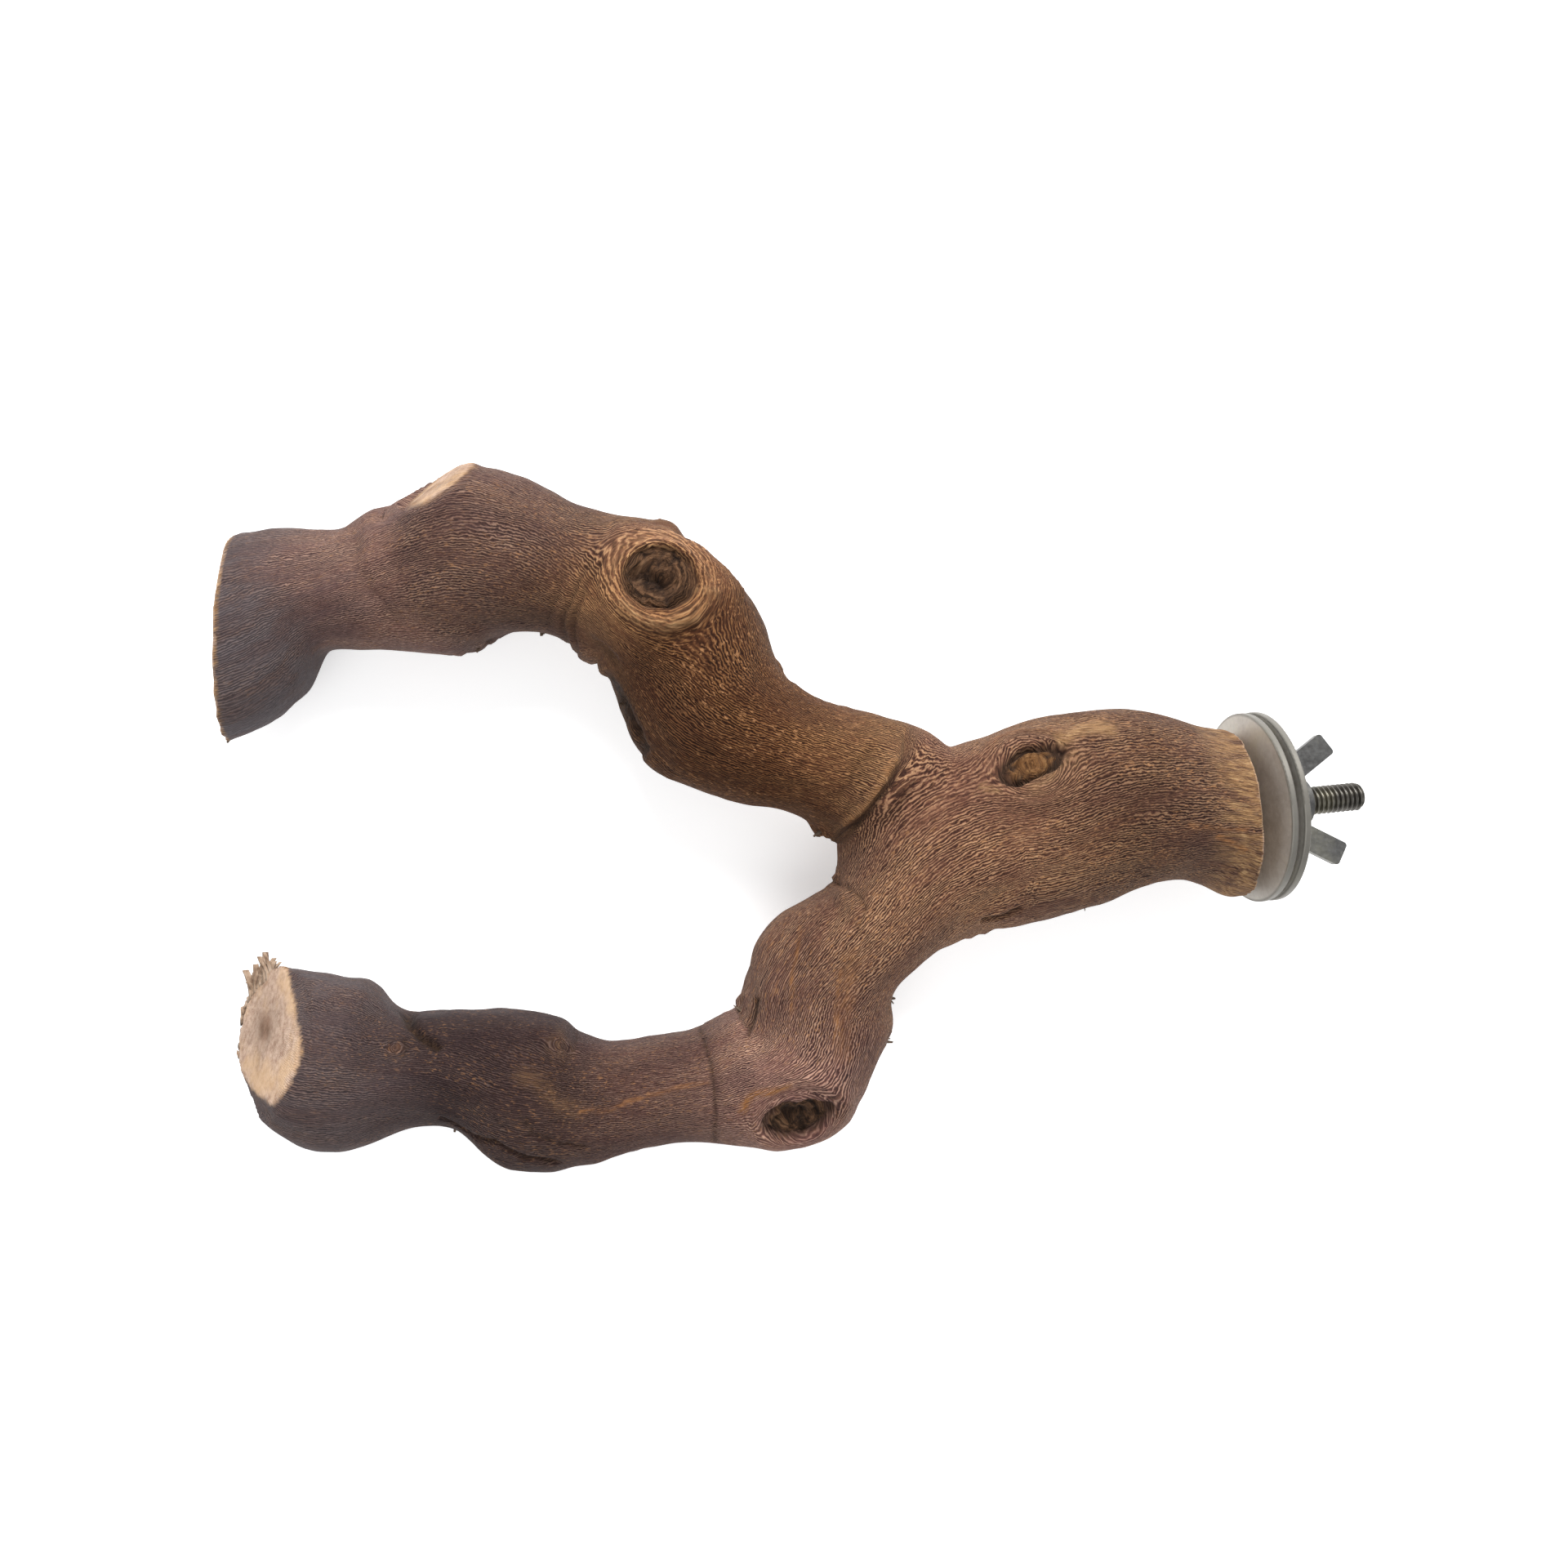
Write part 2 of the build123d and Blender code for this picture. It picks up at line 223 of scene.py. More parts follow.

# Folds left of the round knot, the fork's ridge and grooves, cracks, streaks of orange wood, and pale or dark places.
# The dark is painted shade, mostly in the folds, grooves, cracks and holes
MARKS = [
    Mark([(-87.8, 40.2), (-89.8, 37.2), (-91.5, 34.5), (-92.4, 32.8), (-92.4, 30.5)], 0.34, -0.45, dark=0.45),
    Mark([(-86.8, 39.4), (-88.8, 36.8), (-90.4, 34.3), (-91.1, 32.3), (-91.0, 29.8)], 0.34, -0.40, dark=0.40),
    Mark([(-90.1, 39.8), (-91.9, 37.2), (-93.3, 34.8), (-94.4, 33.1)], 0.40, -0.25, dark=0.25),
    Mark([(-87.3, 39.8), (-89.3, 37.0), (-91.0, 34.4), (-91.8, 32.5)], 0.40, 0.25, pale=0.10),
    # The fork's ridge: pale on its crest as a painted highlight, along with bare orange wood, and a groove beside it
    # dark as painted shade
    Mark([(-51.5, 11.0), (-53.1, 9.0), (-55.7, 5.6), (-58.0, 3.8)], 0.48, 0.75, pale=0.45, orange=0.40),
    Mark([(-52.6, 11.4), (-54.0, 9.7), (-56.7, 6.3), (-58.6, 4.8)], 1.20, 0.25),
    Mark([(-51.7, 9.2), (-53.1, 7.2), (-55.0, 4.8), (-57.0, 2.8)], 0.32, -0.65, dark=0.50),
    Mark([(-50.6, 8.2), (-51.8, 6.6), (-53.8, 4.0)], 0.70, 0.45, pale=0.08),
    Mark([(-49.4, 7.8), (-50.8, 5.8), (-52.6, 3.4)], 0.50, -0.40, dark=0.20),
    Mark([(-54.6, 12.6), (-56.6, 10.2), (-58.8, 7.0)], 0.60, -0.45, dark=0.20),
    Mark([(-117.9, 46.0), (-117.7, 42.7), (-115.8, 38.3), (-113.9, 35.2)], 1.10, -0.50, dark=0.12),
    Mark([(-79.6, -22.0), (-79.2, -24.4), (-78.8, -26.7), (-78.7, -31.2), (-79.2, -37.0)], 0.28, -0.40, dark=0.65),
    Mark([(-77.6, -23.0), (-77.4, -27.0), (-77.4, -31.0)], 0.60, 0.25, pale=0.05),
    Mark([(-119.6, -15.0), (-117.0, -17.3), (-115.6, -18.7), (-113.5, -20.1)], 0.42, -1.40, dark=1.0),
    Mark([(-114.1, -29.3), (-110.7, -31.5), (-107.1, -32.6), (-104.0, -35.0), (-99.9, -36.6)],
         0.28, -0.80, dark=0.85),
    Mark([(-103.0, -29.6), (-102.0, -31.9), (-99.1, -33.6), (-95.8, -34.7)], 0.28, -0.35, dark=0.45),
    Mark([(-41.5, -10.8), (-39.1, -10.5), (-36.7, -9.8)], 0.30, -0.70, dark=0.90),
    Mark([(-87.4, 25.6), (-86.0, 21.6), (-84.8, 18.6), (-83.9, 15.8)], 0.75, -1.50, dark=1.0),
    Mark([(-72.2, -18.6), (-72.8, -20.2), (-73.6, -22.5)], 0.30, -0.70, dark=0.80),
    Mark([(-59.4, -4.5), (-57.6, -6.0), (-57.0, -7.6), (-58.3, -9.9)], 0.28, -0.45, dark=0.45),
    Mark([(-58.3, -9.9), (-57.2, -11.6), (-57.9, -12.9)], 0.28, -0.25, dark=0.25),
    Mark([(-59.6, -6.6), (-58.6, -8.2)], 0.90, 0.45, dark=0.30),
    Mark([(-99.3, -20.4), (-99.6, -21.8), (-99.1, -23.3)], 0.26, -0.25, dark=0.35),
    Mark([(-96.5, -20.2), (-96.1, -21.6), (-96.7, -23.2)], 0.26, -0.25, dark=0.35),
    Mark([(-98.1, -20.6), (-97.8, -22.8)], 0.80, 0.35, pale=0.15),
    Mark([(-117.6, -18.8), (-117.4, -19.6), (-117.9, -20.6)], 0.26, -0.30, dark=0.60),
    Mark([(-119.2, -19.7), (-118.5, -19.5)], 0.50, 0.25, orange=0.30),
    Mark([(-65.2, -9.6), (-67.0, -14.0), (-67.9, -20.0)], 0.20, -0.10, orange=0.75),
    Mark([(-60.6, -13.1), (-62.2, -21.2), (-62.7, -26.6)], 0.20, -0.10, orange=0.65),
    Mark([(-59.4, -13.5), (-61.0, -21.0), (-61.6, -26.0)], 1.10, 0.0, orange=0.28),
    Mark([(-96.3, -29.9), (-91.9, -30.1), (-88.6, -29.3), (-85.1, -28.9), (-79.3, -28.2)], 0.20, -0.10, orange=0.62),
    Mark([(-102.6, -24.3), (-100.6, -25.5), (-98.9, -28.2), (-96.3, -29.9)], 1.00, 0.20, pale=0.16, orange=0.08),
    Mark([(-75.3, -32.2), (-74.8, -30.8), (-73.7, -29.9), (-71.8, -29.7), (-69.3, -29.2)],
         0.42, 0.20, orange=0.95, pale=0.20),
    Mark([(-9.8, -2.7), (-7.7, -4.0), (-6.0, -5.2)], 0.28, 0.05, orange=0.85, pale=0.25),
    Mark([(-14.0, -1.0), (-10.0, -1.6), (-6.0, -2.4)], 0.26, 0.0, orange=0.55),
    Mark([(-28.9, 11.7), (-26.2, 12.7), (-23.4, 13.0), (-22.0, 12.5)], 0.75, 0.10, pale=1.1),
    Mark([(-34.0, 5.6), (-30.4, 7.6), (-27.6, 9.8)], 0.95, 0.25, pale=0.36),
    Mark([(-40.6, 6.6), (-38.6, 6.0)], 0.50, 0.15, pale=0.60),
    Mark([(-84.4, 33.8), (-82.4, 31.8), (-79.2, 30.6), (-75.6, 31.6)], 0.85, 0.35, pale=0.55),
    Mark([(-84.6, 32.0), (-81.6, 29.9), (-77.6, 29.2)], 0.60, -0.25, dark=0.22),
    Mark([(-74.9, 34.9), (-72.6, 34.6)], 0.65, 0.30, pale=0.60),
    Mark([(-86.0, 36.4), (-84.8, 39.2), (-82.4, 41.6)], 0.40, -0.30, dark=0.30),
    Mark([(-81.6, 37.7), (-80.4, 36.6), (-79.2, 35.6)], 1.15, -1.60, dark=1.0),
    Mark([(-81.3, 40.2), (-80.5, 38.8)], 0.24, -0.40, dark=0.85),
    Mark([(-79.6, 41.0), (-79.3, 38.4)], 0.24, -0.40, dark=0.85),
    Mark([(-77.4, 40.4), (-77.9, 39.0)], 0.24, -0.40, dark=0.80),
    Mark([(-78.6, 34.6), (-78.9, 33.4)], 0.28, -0.40, dark=0.90),
    Mark([(-69.7, -33.3), (-67.0, -33.6)], 0.85, -1.00, dark=1.0),
    Mark([(-67.3, -34.2), (-67.4, -36.4)], 0.40, -0.70, dark=0.90),
    Mark([(-72.4, -35.0), (-71.0, -36.3)], 0.55, -0.70, dark=1.0),
]

# The washers' radius, for the painted shade that darkens their rims
WASHER_RADIUS = 13.25

# The hanger bolt's thread: the stud outside, the screw end in the wood, and the mesh's columns and rows
STUD_DIA = 4.0
STUD_THREAD_DEPTH = 0.43
STUD_PITCH = 0.7
STUD_TIP = 16.0
STUD_CHAMFER = 0.5
STUD_START = -5.9
SCREW_DIA = 3.4
SCREW_THREAD_DEPTH = 0.5
SCREW_PITCH = 1.6
SCREW_TIP = -23.9
SCREW_POINT = 5.0
THREAD_ROOT = 0.2
THREAD_FLANK = 0.65
BOLT_COLUMNS = 40
ROWS_PER_PITCH = 12

# Torn fibres round the lower limb's sawn end: its middle and half sizes, how many fibres are in the tuft and
# on the far rim, and where round the rim, in degrees from the side that faces the upper limb
LOWER_END_MIDDLE = (-14.9, -1.2)
LOWER_END_HALF = (6.9, 8.2)
FIBRE_COUNTS = (40, 34)
FIBRE_CLUMPS = (-66, -60, -53, -46, -41, -34)
FAR_RIM = (-140.0, -70.0)
FIBRE_HALF_WIDTH = (0.30, 0.65)
TUFT_LEAN = (0.35, 1.6, 0.25)
TUFT_LENGTH = (1.6, 3.6)
RIM_LENGTH = (0.7, 1.5)

# Loose slivers of bark on the limbs' edges: how many to a place, and each place with a heading
SPLINTERS_EACH = 3
SPLINTERS = [
    ((-87.0, -38.2, -4.0), (-0.3, -1.0, 0.1)), ((-73.0, -38.6, -3.5), (0.2, -1.0, 0.1)),
    ((-55.2, -22.0, -2.0), (1.0, -0.5, 0.1)), ((-55.0, -27.0, -2.0), (1.0, -0.4, 0.2)),
    ((-60.6, 3.4, 1.0), (-0.9, -0.5, 0.3)), ((-73.6, -20.2, 0.5), (-0.8, 0.7, 0.2)),
    ((-41.0, -13.2, -2.0), (-0.3, -1.0, 0.1)), ((-24.0, -11.2, -3.0), (0.3, -1.0, 0.0)),
    ((-96.0, 32.0, -3.0), (0.1, -1.0, 0.2)), ((-104.0, 31.0, -3.0), (-0.2, -1.0, 0.2)),
    ((-86.6, 22.0, 1.0), (-1.0, -0.3, 0.2)), ((-138.6, 23.4, -4.0), (-0.5, -1.0, 0.1)),
    ((-2.4, -10.2, 0.0), (0.6, -0.8, 0.2)), ((-113.0, -31.0, -4.0), (-0.4, -1.0, 0.1)),
]

# Shades of the wood: a place from 0 to 1 in a pattern, and the colour there
BARK_SHADES = [(0.22, (0.038, 0.0160, 0.0098)), (0.42, (0.104, 0.0435, 0.0230)), (0.58, (0.168, 0.0765, 0.0395)),
               (0.74, (0.350, 0.1930, 0.0940))]
# The painted haze: a pale bluish grey glow of light over the limbs' ends and flanks
PAINTED_HAZE_SHADES = [(0.25, (0.062, 0.054, 0.058)), (0.75, (0.128, 0.112, 0.118))]
TORN_SHADES = [(0.30, (0.15, 0.075, 0.034)), (0.55, (0.29, 0.165, 0.078)), (0.72, (0.42, 0.27, 0.135))]
RAW_SHADES = [(0.30, (0.15, 0.060, 0.022)), (0.55, (0.29, 0.125, 0.045)), (0.72, (0.42, 0.20, 0.078))]
CRUMB_SHADES = [(0.36, (0.010, 0.005, 0.003)), (0.47, (0.052, 0.026, 0.014)), (0.58, (0.135, 0.068, 0.036)),
                (0.72, (0.24, 0.135, 0.074))]
RUST_SHADES = [(0.36, (0.060, 0.024, 0.008)), (0.52, (0.150, 0.068, 0.024)), (0.70, (0.25, 0.128, 0.050))]
# Painted shade: near black in the knots' grooves and holes, in cracks and in sunken broken bark
PAINTED_SHADE_COLOURS = [(0.38, (0.013, 0.007, 0.005)), (0.60, (0.050, 0.027, 0.016)), (0.75, (0.13, 0.074, 0.040))]
SAWN_SHADES = [(0.32, (0.35, 0.215, 0.150)), (0.50, (0.500, 0.345, 0.255)), (0.66, (0.60, 0.435, 0.33))]
FIBRE_SHADES = [(0.30, (0.16, 0.095, 0.06)), (0.5, (0.42, 0.29, 0.20)), (0.72, (0.62, 0.49, 0.38))]
COOL_BARK = (0.84, 0.79, 0.79, 1)
WARM_BARK = (1.20, 1.20, 1.10, 1)
GOLDEN_FLECK = (0.34, 0.165, 0.073, 1)
SAPWOOD = (0.66, 0.43, 0.235, 1)
HEARTWOOD = (0.37, 0.20, 0.12, 1)
# The plating's dark and light greys, its stain, and the painted shade on its rim
BOLT_GREYS = ((0.080, 0.074, 0.066), (0.175, 0.165, 0.148))
WASHER_GREYS = ((0.42, 0.395, 0.355), (0.62, 0.595, 0.55))
NUT_GREYS = ((0.105, 0.102, 0.098), (0.235, 0.231, 0.224))
PLATING_STAIN = (0.36, 0.33, 0.17, 1)
PLATING_RIM_SHADE = (0.145, 0.135, 0.115, 1)

# The studio: the floor's reach, glow and drop below the perch, the surround's colour and strength, the point
# that both lights face, and each light's place, size and watts
FLOOR_REACH = 3000.0
FLOOR_GLOW = 0.46
FLOOR_DROP = 0.05
SURROUND_COLOUR = (0.96, 0.98, 1.0, 1)
SURROUND_STRENGTH = 0.45
LIGHTS_FACE = (-70.0, 8.0, 0.0)
KEY_LIGHT = ((20.0, 410.0, 370.0), 330.0, 4.2)
FILL_LIGHT = ((-180.0, -260.0, 420.0), 400.0, 1.0)


def smooth_step(low, high, value):
    """0 below low, 1 above high, and a cubic rise between them."""
    t = np.clip((value - low) / (high - low), 0, 1)
    return t * t * (3 - 2 * t)


def unit(vectors):
    """The vectors at length one."""
    vectors = np.asarray(vectors, float)
    return vectors / np.linalg.norm(vectors, axis=-1, keepdims=True)


def distance_to(points, place):
    """The distance from each point to one place."""
    return np.linalg.norm(points - np.array(place), axis=1)


def lattice_noise(points, seed):
    """Smooth noise from 0 to 1: random heights on a unit lattice, mixed by cubic weights from each cell's
    eight corners."""
    heights = np.random.default_rng(seed).random((LATTICE, LATTICE, LATTICE))
    cell = np.floor(points).astype(int)
    t = points - cell
    t = t * t * (3 - 2 * t)
    total = np.zeros(len(points))
    for corner in np.ndindex(2, 2, 2):
        share = np.where(np.array(corner) == 1, t, 1 - t).prod(1)
        x, y, z = ((cell + corner) % LATTICE).T
        total += share * heights[x, y, z]
    return total


def smooth_line(points, per_span=14):
    """A limb's middle line: a Catmull-Rom curve, each span mixing its four nearest points by cubic weights.
    Gives the places on it, the distance travelled to each and the heading there."""
    p = np.array(points, float)
    p = np.vstack([2 * p[0] - p[1], p, 2 * p[-1] - p[-2]])
    t = (np.arange(per_span) / per_span)[:, None, None]
    a, b, c, d = p[:-3], p[1:-2], p[2:-1], p[3:]
    curve = 0.5 * (2 * b + (c - a) * t + (2 * a - 5 * b + 4 * c - d) * t**2 + (3 * b - a - 3 * c + d) * t**3)
    places = np.vstack([curve.transpose(1, 0, 2).reshape(-1, 3), p[-2:-1]])
    steps = np.linalg.norm(np.diff(places, axis=0), axis=1)
    return places, np.concatenate([[0], np.cumsum(steps)]), unit(np.gradient(places, axis=0))


def straighten(points, line):
    """Points in a limb's own straightened space: the distance along its middle, to its left in plan, and up.
    Each point is measured from its nearest place on the middle line. Also gives its distance from that place."""
    places, travel, heading = line
    blocks = np.array_split(points, 60)
    nearest = np.concatenate([((block[:, None] - places) ** 2).sum(2).argmin(1) for block in blocks])
    offset = points - places[nearest]
    ahead = heading[nearest]
    left = unit(np.stack([-ahead[:, 1], ahead[:, 0], 0 * ahead[:, 0]], 1))
    up = np.cross(ahead, left)
    along = travel[nearest] + (offset * ahead).sum(1)
    return np.stack([along, (offset * left).sum(1), (offset * up).sum(1)], 1), np.linalg.norm(offset, axis=1)


def line_distance(points, line):
    """The distance in plan from points to a line of straight pieces: the least over the pieces."""
    best = np.full(len(points), FAR)
    for start, end in zip(line[:-1], line[1:]):
        start, end = np.array(start), np.array(end)
        run = end - start
        share = np.clip((points[:, :2] - start) @ run / (run @ run), 0, 1)
        gap = points[:, :2] - start - share[:, None] * run
        best = np.minimum(best, np.linalg.norm(gap, axis=1))
    return best


def inside_edge(points, edge):
    """How far points lie inside a clockwise line in plan: the least of the distances to the right of its pieces."""
    best = np.full(len(points), FAR)
    for start, end in zip(edge[:-1], edge[1:]):
        run = unit(np.array(end) - np.array(start))
        best = np.minimum(best, (points[:, :2] - np.array(start)) @ np.array([run[1], -run[0]]))
    return best


def new_mesh_object(name, points_mm, faces):
    """An object at the origin from points in millimetres and faces, with smooth shading."""
    mesh = bpy.data.meshes.new(name)
    mesh.from_pydata((np.asarray(points_mm) * MM).tolist(), [], faces)
    mesh.update()
    mesh.shade_smooth()
    piece = bpy.data.objects.new(name, mesh)
    bpy.context.scene.collection.objects.link(piece)
    return piece


def point_values(piece, name, values):
    """Stores one number or vector for each point of a mesh, for its material to read."""
    kinds = {1: ("FLOAT", "value"), 3: ("FLOAT_VECTOR", "vector")}
    values = np.asarray(values, np.float32)
    kind, field = kinds[1 if values.ndim == 1 else values.shape[1]]
    attribute = piece.data.attributes.new(name, kind, "POINT")
    attribute.data.foreach_set(field, values.ravel())


def mesh_points(mesh):
    """A mesh's points in millimetres."""
    flat = np.empty(len(mesh.vertices) * 3)
    mesh.vertices.foreach_get("co", flat)
    return flat.reshape(-1, 3) / MM


def mesh_normals(mesh):
    """The outward direction at each of a mesh's points."""
    flat = np.empty(len(mesh.vertices) * 3)
    mesh.vertex_normals.foreach_get("vector", flat)
    return flat.reshape(-1, 3)


def in_solids_box(points, margin=0.0):
    """Points kept inside the solids' box by a margin."""
    low, high = np.array(cad_box[0]) / MM, np.array(cad_box[1]) / MM
    return np.clip(points, low + margin, high - margin)


def even_skin(node, spacing_mm):
    """A closed, evenly spaced mesh over a copy of a solid: its corners are merged, then it is remeshed by voxels."""
    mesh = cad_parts[node].data.copy()
    work = bmesh.new()
    work.from_mesh(mesh)
    bmesh.ops.remove_doubles(work, verts=work.verts, dist=1e-6)
    work.to_mesh(mesh)
    work.free()
    rough = bpy.data.objects.new("rough_skin", mesh)
    bpy.context.scene.collection.objects.link(rough)
    remesh = rough.modifiers.new("voxels", "REMESH")
    remesh.mode = "VOXEL"
    remesh.voxel_size = spacing_mm * MM
    skin = bpy.data.meshes.new_from_object(rough.evaluated_get(bpy.context.evaluated_depsgraph_get()))
    bpy.data.objects.remove(rough)
    return skin


def eased(points, mesh, rounds, hold):
    """Points moved to the mean of themselves and their neighbours, a few times, except where they are held."""
    pairs = np.empty(len(mesh.edges) * 2, int)
    mesh.edges.foreach_get("vertices", pairs)
    a, b = pairs.reshape(-1, 2).T
    count = np.bincount(pairs, minlength=len(points))[:, None]
    for _ in range(rounds):
        total = np.stack([np.bincount(a, points[b, i], len(points)) + np.bincount(b, points[a, i], len(points))
                          for i in range(3)], 1)
        points = points + 0.5 * (1 - hold)[:, None] * (total / count - points)
    return points


def round_a_knot(points, knot, direction):
    """Distances from a knot in its own plane: along a direction and across it, with the side direction and the
    height. Only points on the knot's own side of the limb count, by the last number."""
    outward = unit(knot.outward)
    ahead = unit(direction - (direction @ outward) * outward)
    side = np.cross(outward, ahead)
    away = points - np.array(knot.at)
    rise = away @ outward
    return away @ ahead, away @ side, side, rise, smooth_step(-9, -5, rise)


def nearest_heading(at, lines):
    """The heading of whichever limb passes nearest to a place."""
    gaps = [distance_to(places, at) for places, _, _ in lines]
    best = min(range(len(lines)), key=lambda i: gaps[i].min())
    return lines[best][2][gaps[best].argmin()]


class KnotForms(NamedTuple):
    """What the knots do at each point: its shift, where its grain is read, how far it is in a groove, a core or an
    orange core, how pale its collar is, how light the wood is round it, and its turn about the knot's middle."""

    shift: np.ndarray
    flowed: np.ndarray
    moat: np.ndarray
    core: np.ndarray
    core_orange: np.ndarray
    collar: np.ndarray
    glow: np.ndarray
    core_turn: np.ndarray


def sawn_wood(points, normals):
    """How bare each point is in a sawn face, how frayed in its rim, and how far from the nearest cut it lies.
    A face is bare close to its plane where the surface faces its way, and in patches where it isn't bare all over."""
    sawn, frayed = np.zeros(len(points)), np.zeros(len(points))
    inside = np.full(len(points), FAR)
    for cut in SAW_CUTS:
        depth = np.abs((np.array(cut.at) - points) @ unit(cut.facing))
        near = smooth_step(cut.reach, 0.7 * cut.reach, distance_to(points, cut.at))
        on_face = smooth_step(0.5, 0.25, depth) * smooth_step(0.55, 0.85, normals @ unit(cut.facing))
        on_face *= np.clip(cut.bare + (1 - cut.bare) * 2.5 * (lattice_noise(points / 1.8, 18) - 0.5), 0, 1)
        sawn = np.maximum(sawn, near * on_face)
        inside = np.where(near > 0, np.minimum(inside, depth), inside)
        frayed = np.maximum(frayed, near * smooth_step(cut.frayed, 0, depth))
    return sawn, frayed, inside


def wrapped_lower_face(points, sawn):
    """The lower limb's sawn face falls away outside its edge by a share of the distance past it. Gives the
    points and, from 0 to 1, how far outside they lie."""
    by_lower_end = distance_to(points, LOWER_END.at) < 0.7 * LOWER_END.reach
    edge_gap = inside_edge(points, LOWER_FACE_EDGE)
    outside = by_lower_end * smooth_step(0.1, -0.3, edge_gap + 0.3 * (lattice_noise(points / 1.3, 17) - 0.5))
    fall = LOWER_FACE_FALL * np.clip(-edge_gap, 0, 2.5) * by_lower_end * (sawn > 0)
    return points - fall[:, None] * unit(LOWER_END.facing), outside


def smoothed_wood(points, mesh, held):
    """The skin eased where it isn't held, eased more where the wood has healed, and leaned at the upper limb's
    end."""
    points = eased(points, mesh, SKIN_ROUNDS, held)
    healed = np.zeros(len(points))
    for place, radius in HEALED:
        healed = np.maximum(healed, smooth_step(radius, 0.5 * radius, distance_to(points, place)))
    points = eased(points, mesh, HEALED_ROUNDS, 1 - healed)
    from_end = np.abs((np.array(UPPER_END.at) - points) @ unit(UPPER_END.facing))
    at_end = smooth_step(10, 0, from_end) * (distance_to(points, UPPER_END.at) < UPPER_END.reach)
    points[:, 0] += UPPER_END_LEAN * (points[:, 1] - UPPER_END.at[1]) * at_end
    return points


def knot_forms(points, lines):
    """The knots: the grain flows round each as a stream does round a post, a collar rings it, and an open one has
    a lip, a groove and a core, each a clipped height over the knot's own plane inside a wobbly oval."""
    flowed = points.copy()
    shift = np.zeros_like(points)
    moat, core, core_orange, collar, core_turn = np.zeros((5, len(points)))
    glow = np.ones(len(points))
    for knot in KNOTS:
        along, across, side, rise, near = round_a_knot(points, knot, nearest_heading(knot.at, lines))
        distance = np.hypot(along, across)
        past = across * (1 - (knot.grain_bend / np.maximum(distance, 0.01)) ** 2)
        around = np.where(distance > knot.grain_bend, past, distance - knot.grain_bend)
        flowed += ((around - across) * near)[:, None] * side
        ring = np.exp(-(((distance - knot.collar) / (0.18 * knot.collar + 0.15)) ** 2)) * near
        collar = np.maximum(collar, ring * knot.pale)
        glow += 2.5 * knot.pale * np.exp(-(((distance - knot.collar) / (0.5 * knot.collar)) ** 2)) * near
        if knot.socket:
            long, wide, _, _, _ = round_a_knot(points, knot, np.array(knot.lie))
            wobble = 0.9 * (lattice_noise(points / 1.9, 12) - 0.5)
            opening = np.hypot(long, wide / knot.narrow) + wobble
            hole = smooth_step(knot.socket + 0.5, knot.socket - 0.4, opening) * near
            middle = smooth_step(knot.core * knot.socket + 0.4, knot.core * knot.socket - 0.5, opening) * near
            filled = np.clip(smooth_step(knot.socket + 1.4, knot.socket + 0.2, distance) * near - hole, 0, 1)
            lip = np.clip(knot.lip - distance**2 / LIP_ROUND - rise, -0.6, 3)
            groove = np.clip(MOAT_HEIGHT - rise, -2.2, 0.5)
            top = np.clip(knot.core_height - rise, -0.8, 2.0)
            shift += (filled * lip + (hole - middle) * groove + middle * top)[:, None] * unit(knot.outward)
            moat = np.maximum(moat, hole - middle)
            core = np.maximum(core, middle)
            core_orange = np.maximum(core_orange, middle * knot.orange)
            core_turn = np.where(hole > 0, np.arctan2(wide, long), core_turn)
    return KnotForms(shift, flowed, moat, core, core_orange, collar, glow, core_turn)


def bark_grain(points, flowed, lines):
    """The straightened space of the limb that each point belongs to, mixed across the seam at the fork, and how far
    the point lies on the upper limb's side."""
    upper, upper_gap = straighten(flowed, lines[0])
    lower, lower_gap = straighten(flowed, lines[1])
    seam = np.array(FORK_SEAM)
    seam_run = unit(seam[1] - seam[0])
    past_seam = (points[:, :2] - seam[0]) @ np.array([seam_run[1], -seam_run[0]])
    from_seam = distance_to(points[:, :2], seam.mean(0))
    at_fork = smooth_step(FORK_REACH, 0.6 * FORK_REACH, from_seam)
    upper_side = past_seam * at_fork + (lower_gap - upper_gap) * (1 - at_fork)
    blend = 0.3 + 1.6 * smooth_step(2.5, 9.0, from_seam) * at_fork
    on_upper = smooth_step(-blend, blend, upper_side)[:, None]
    return upper * on_upper + lower * (1 - on_upper), upper_side


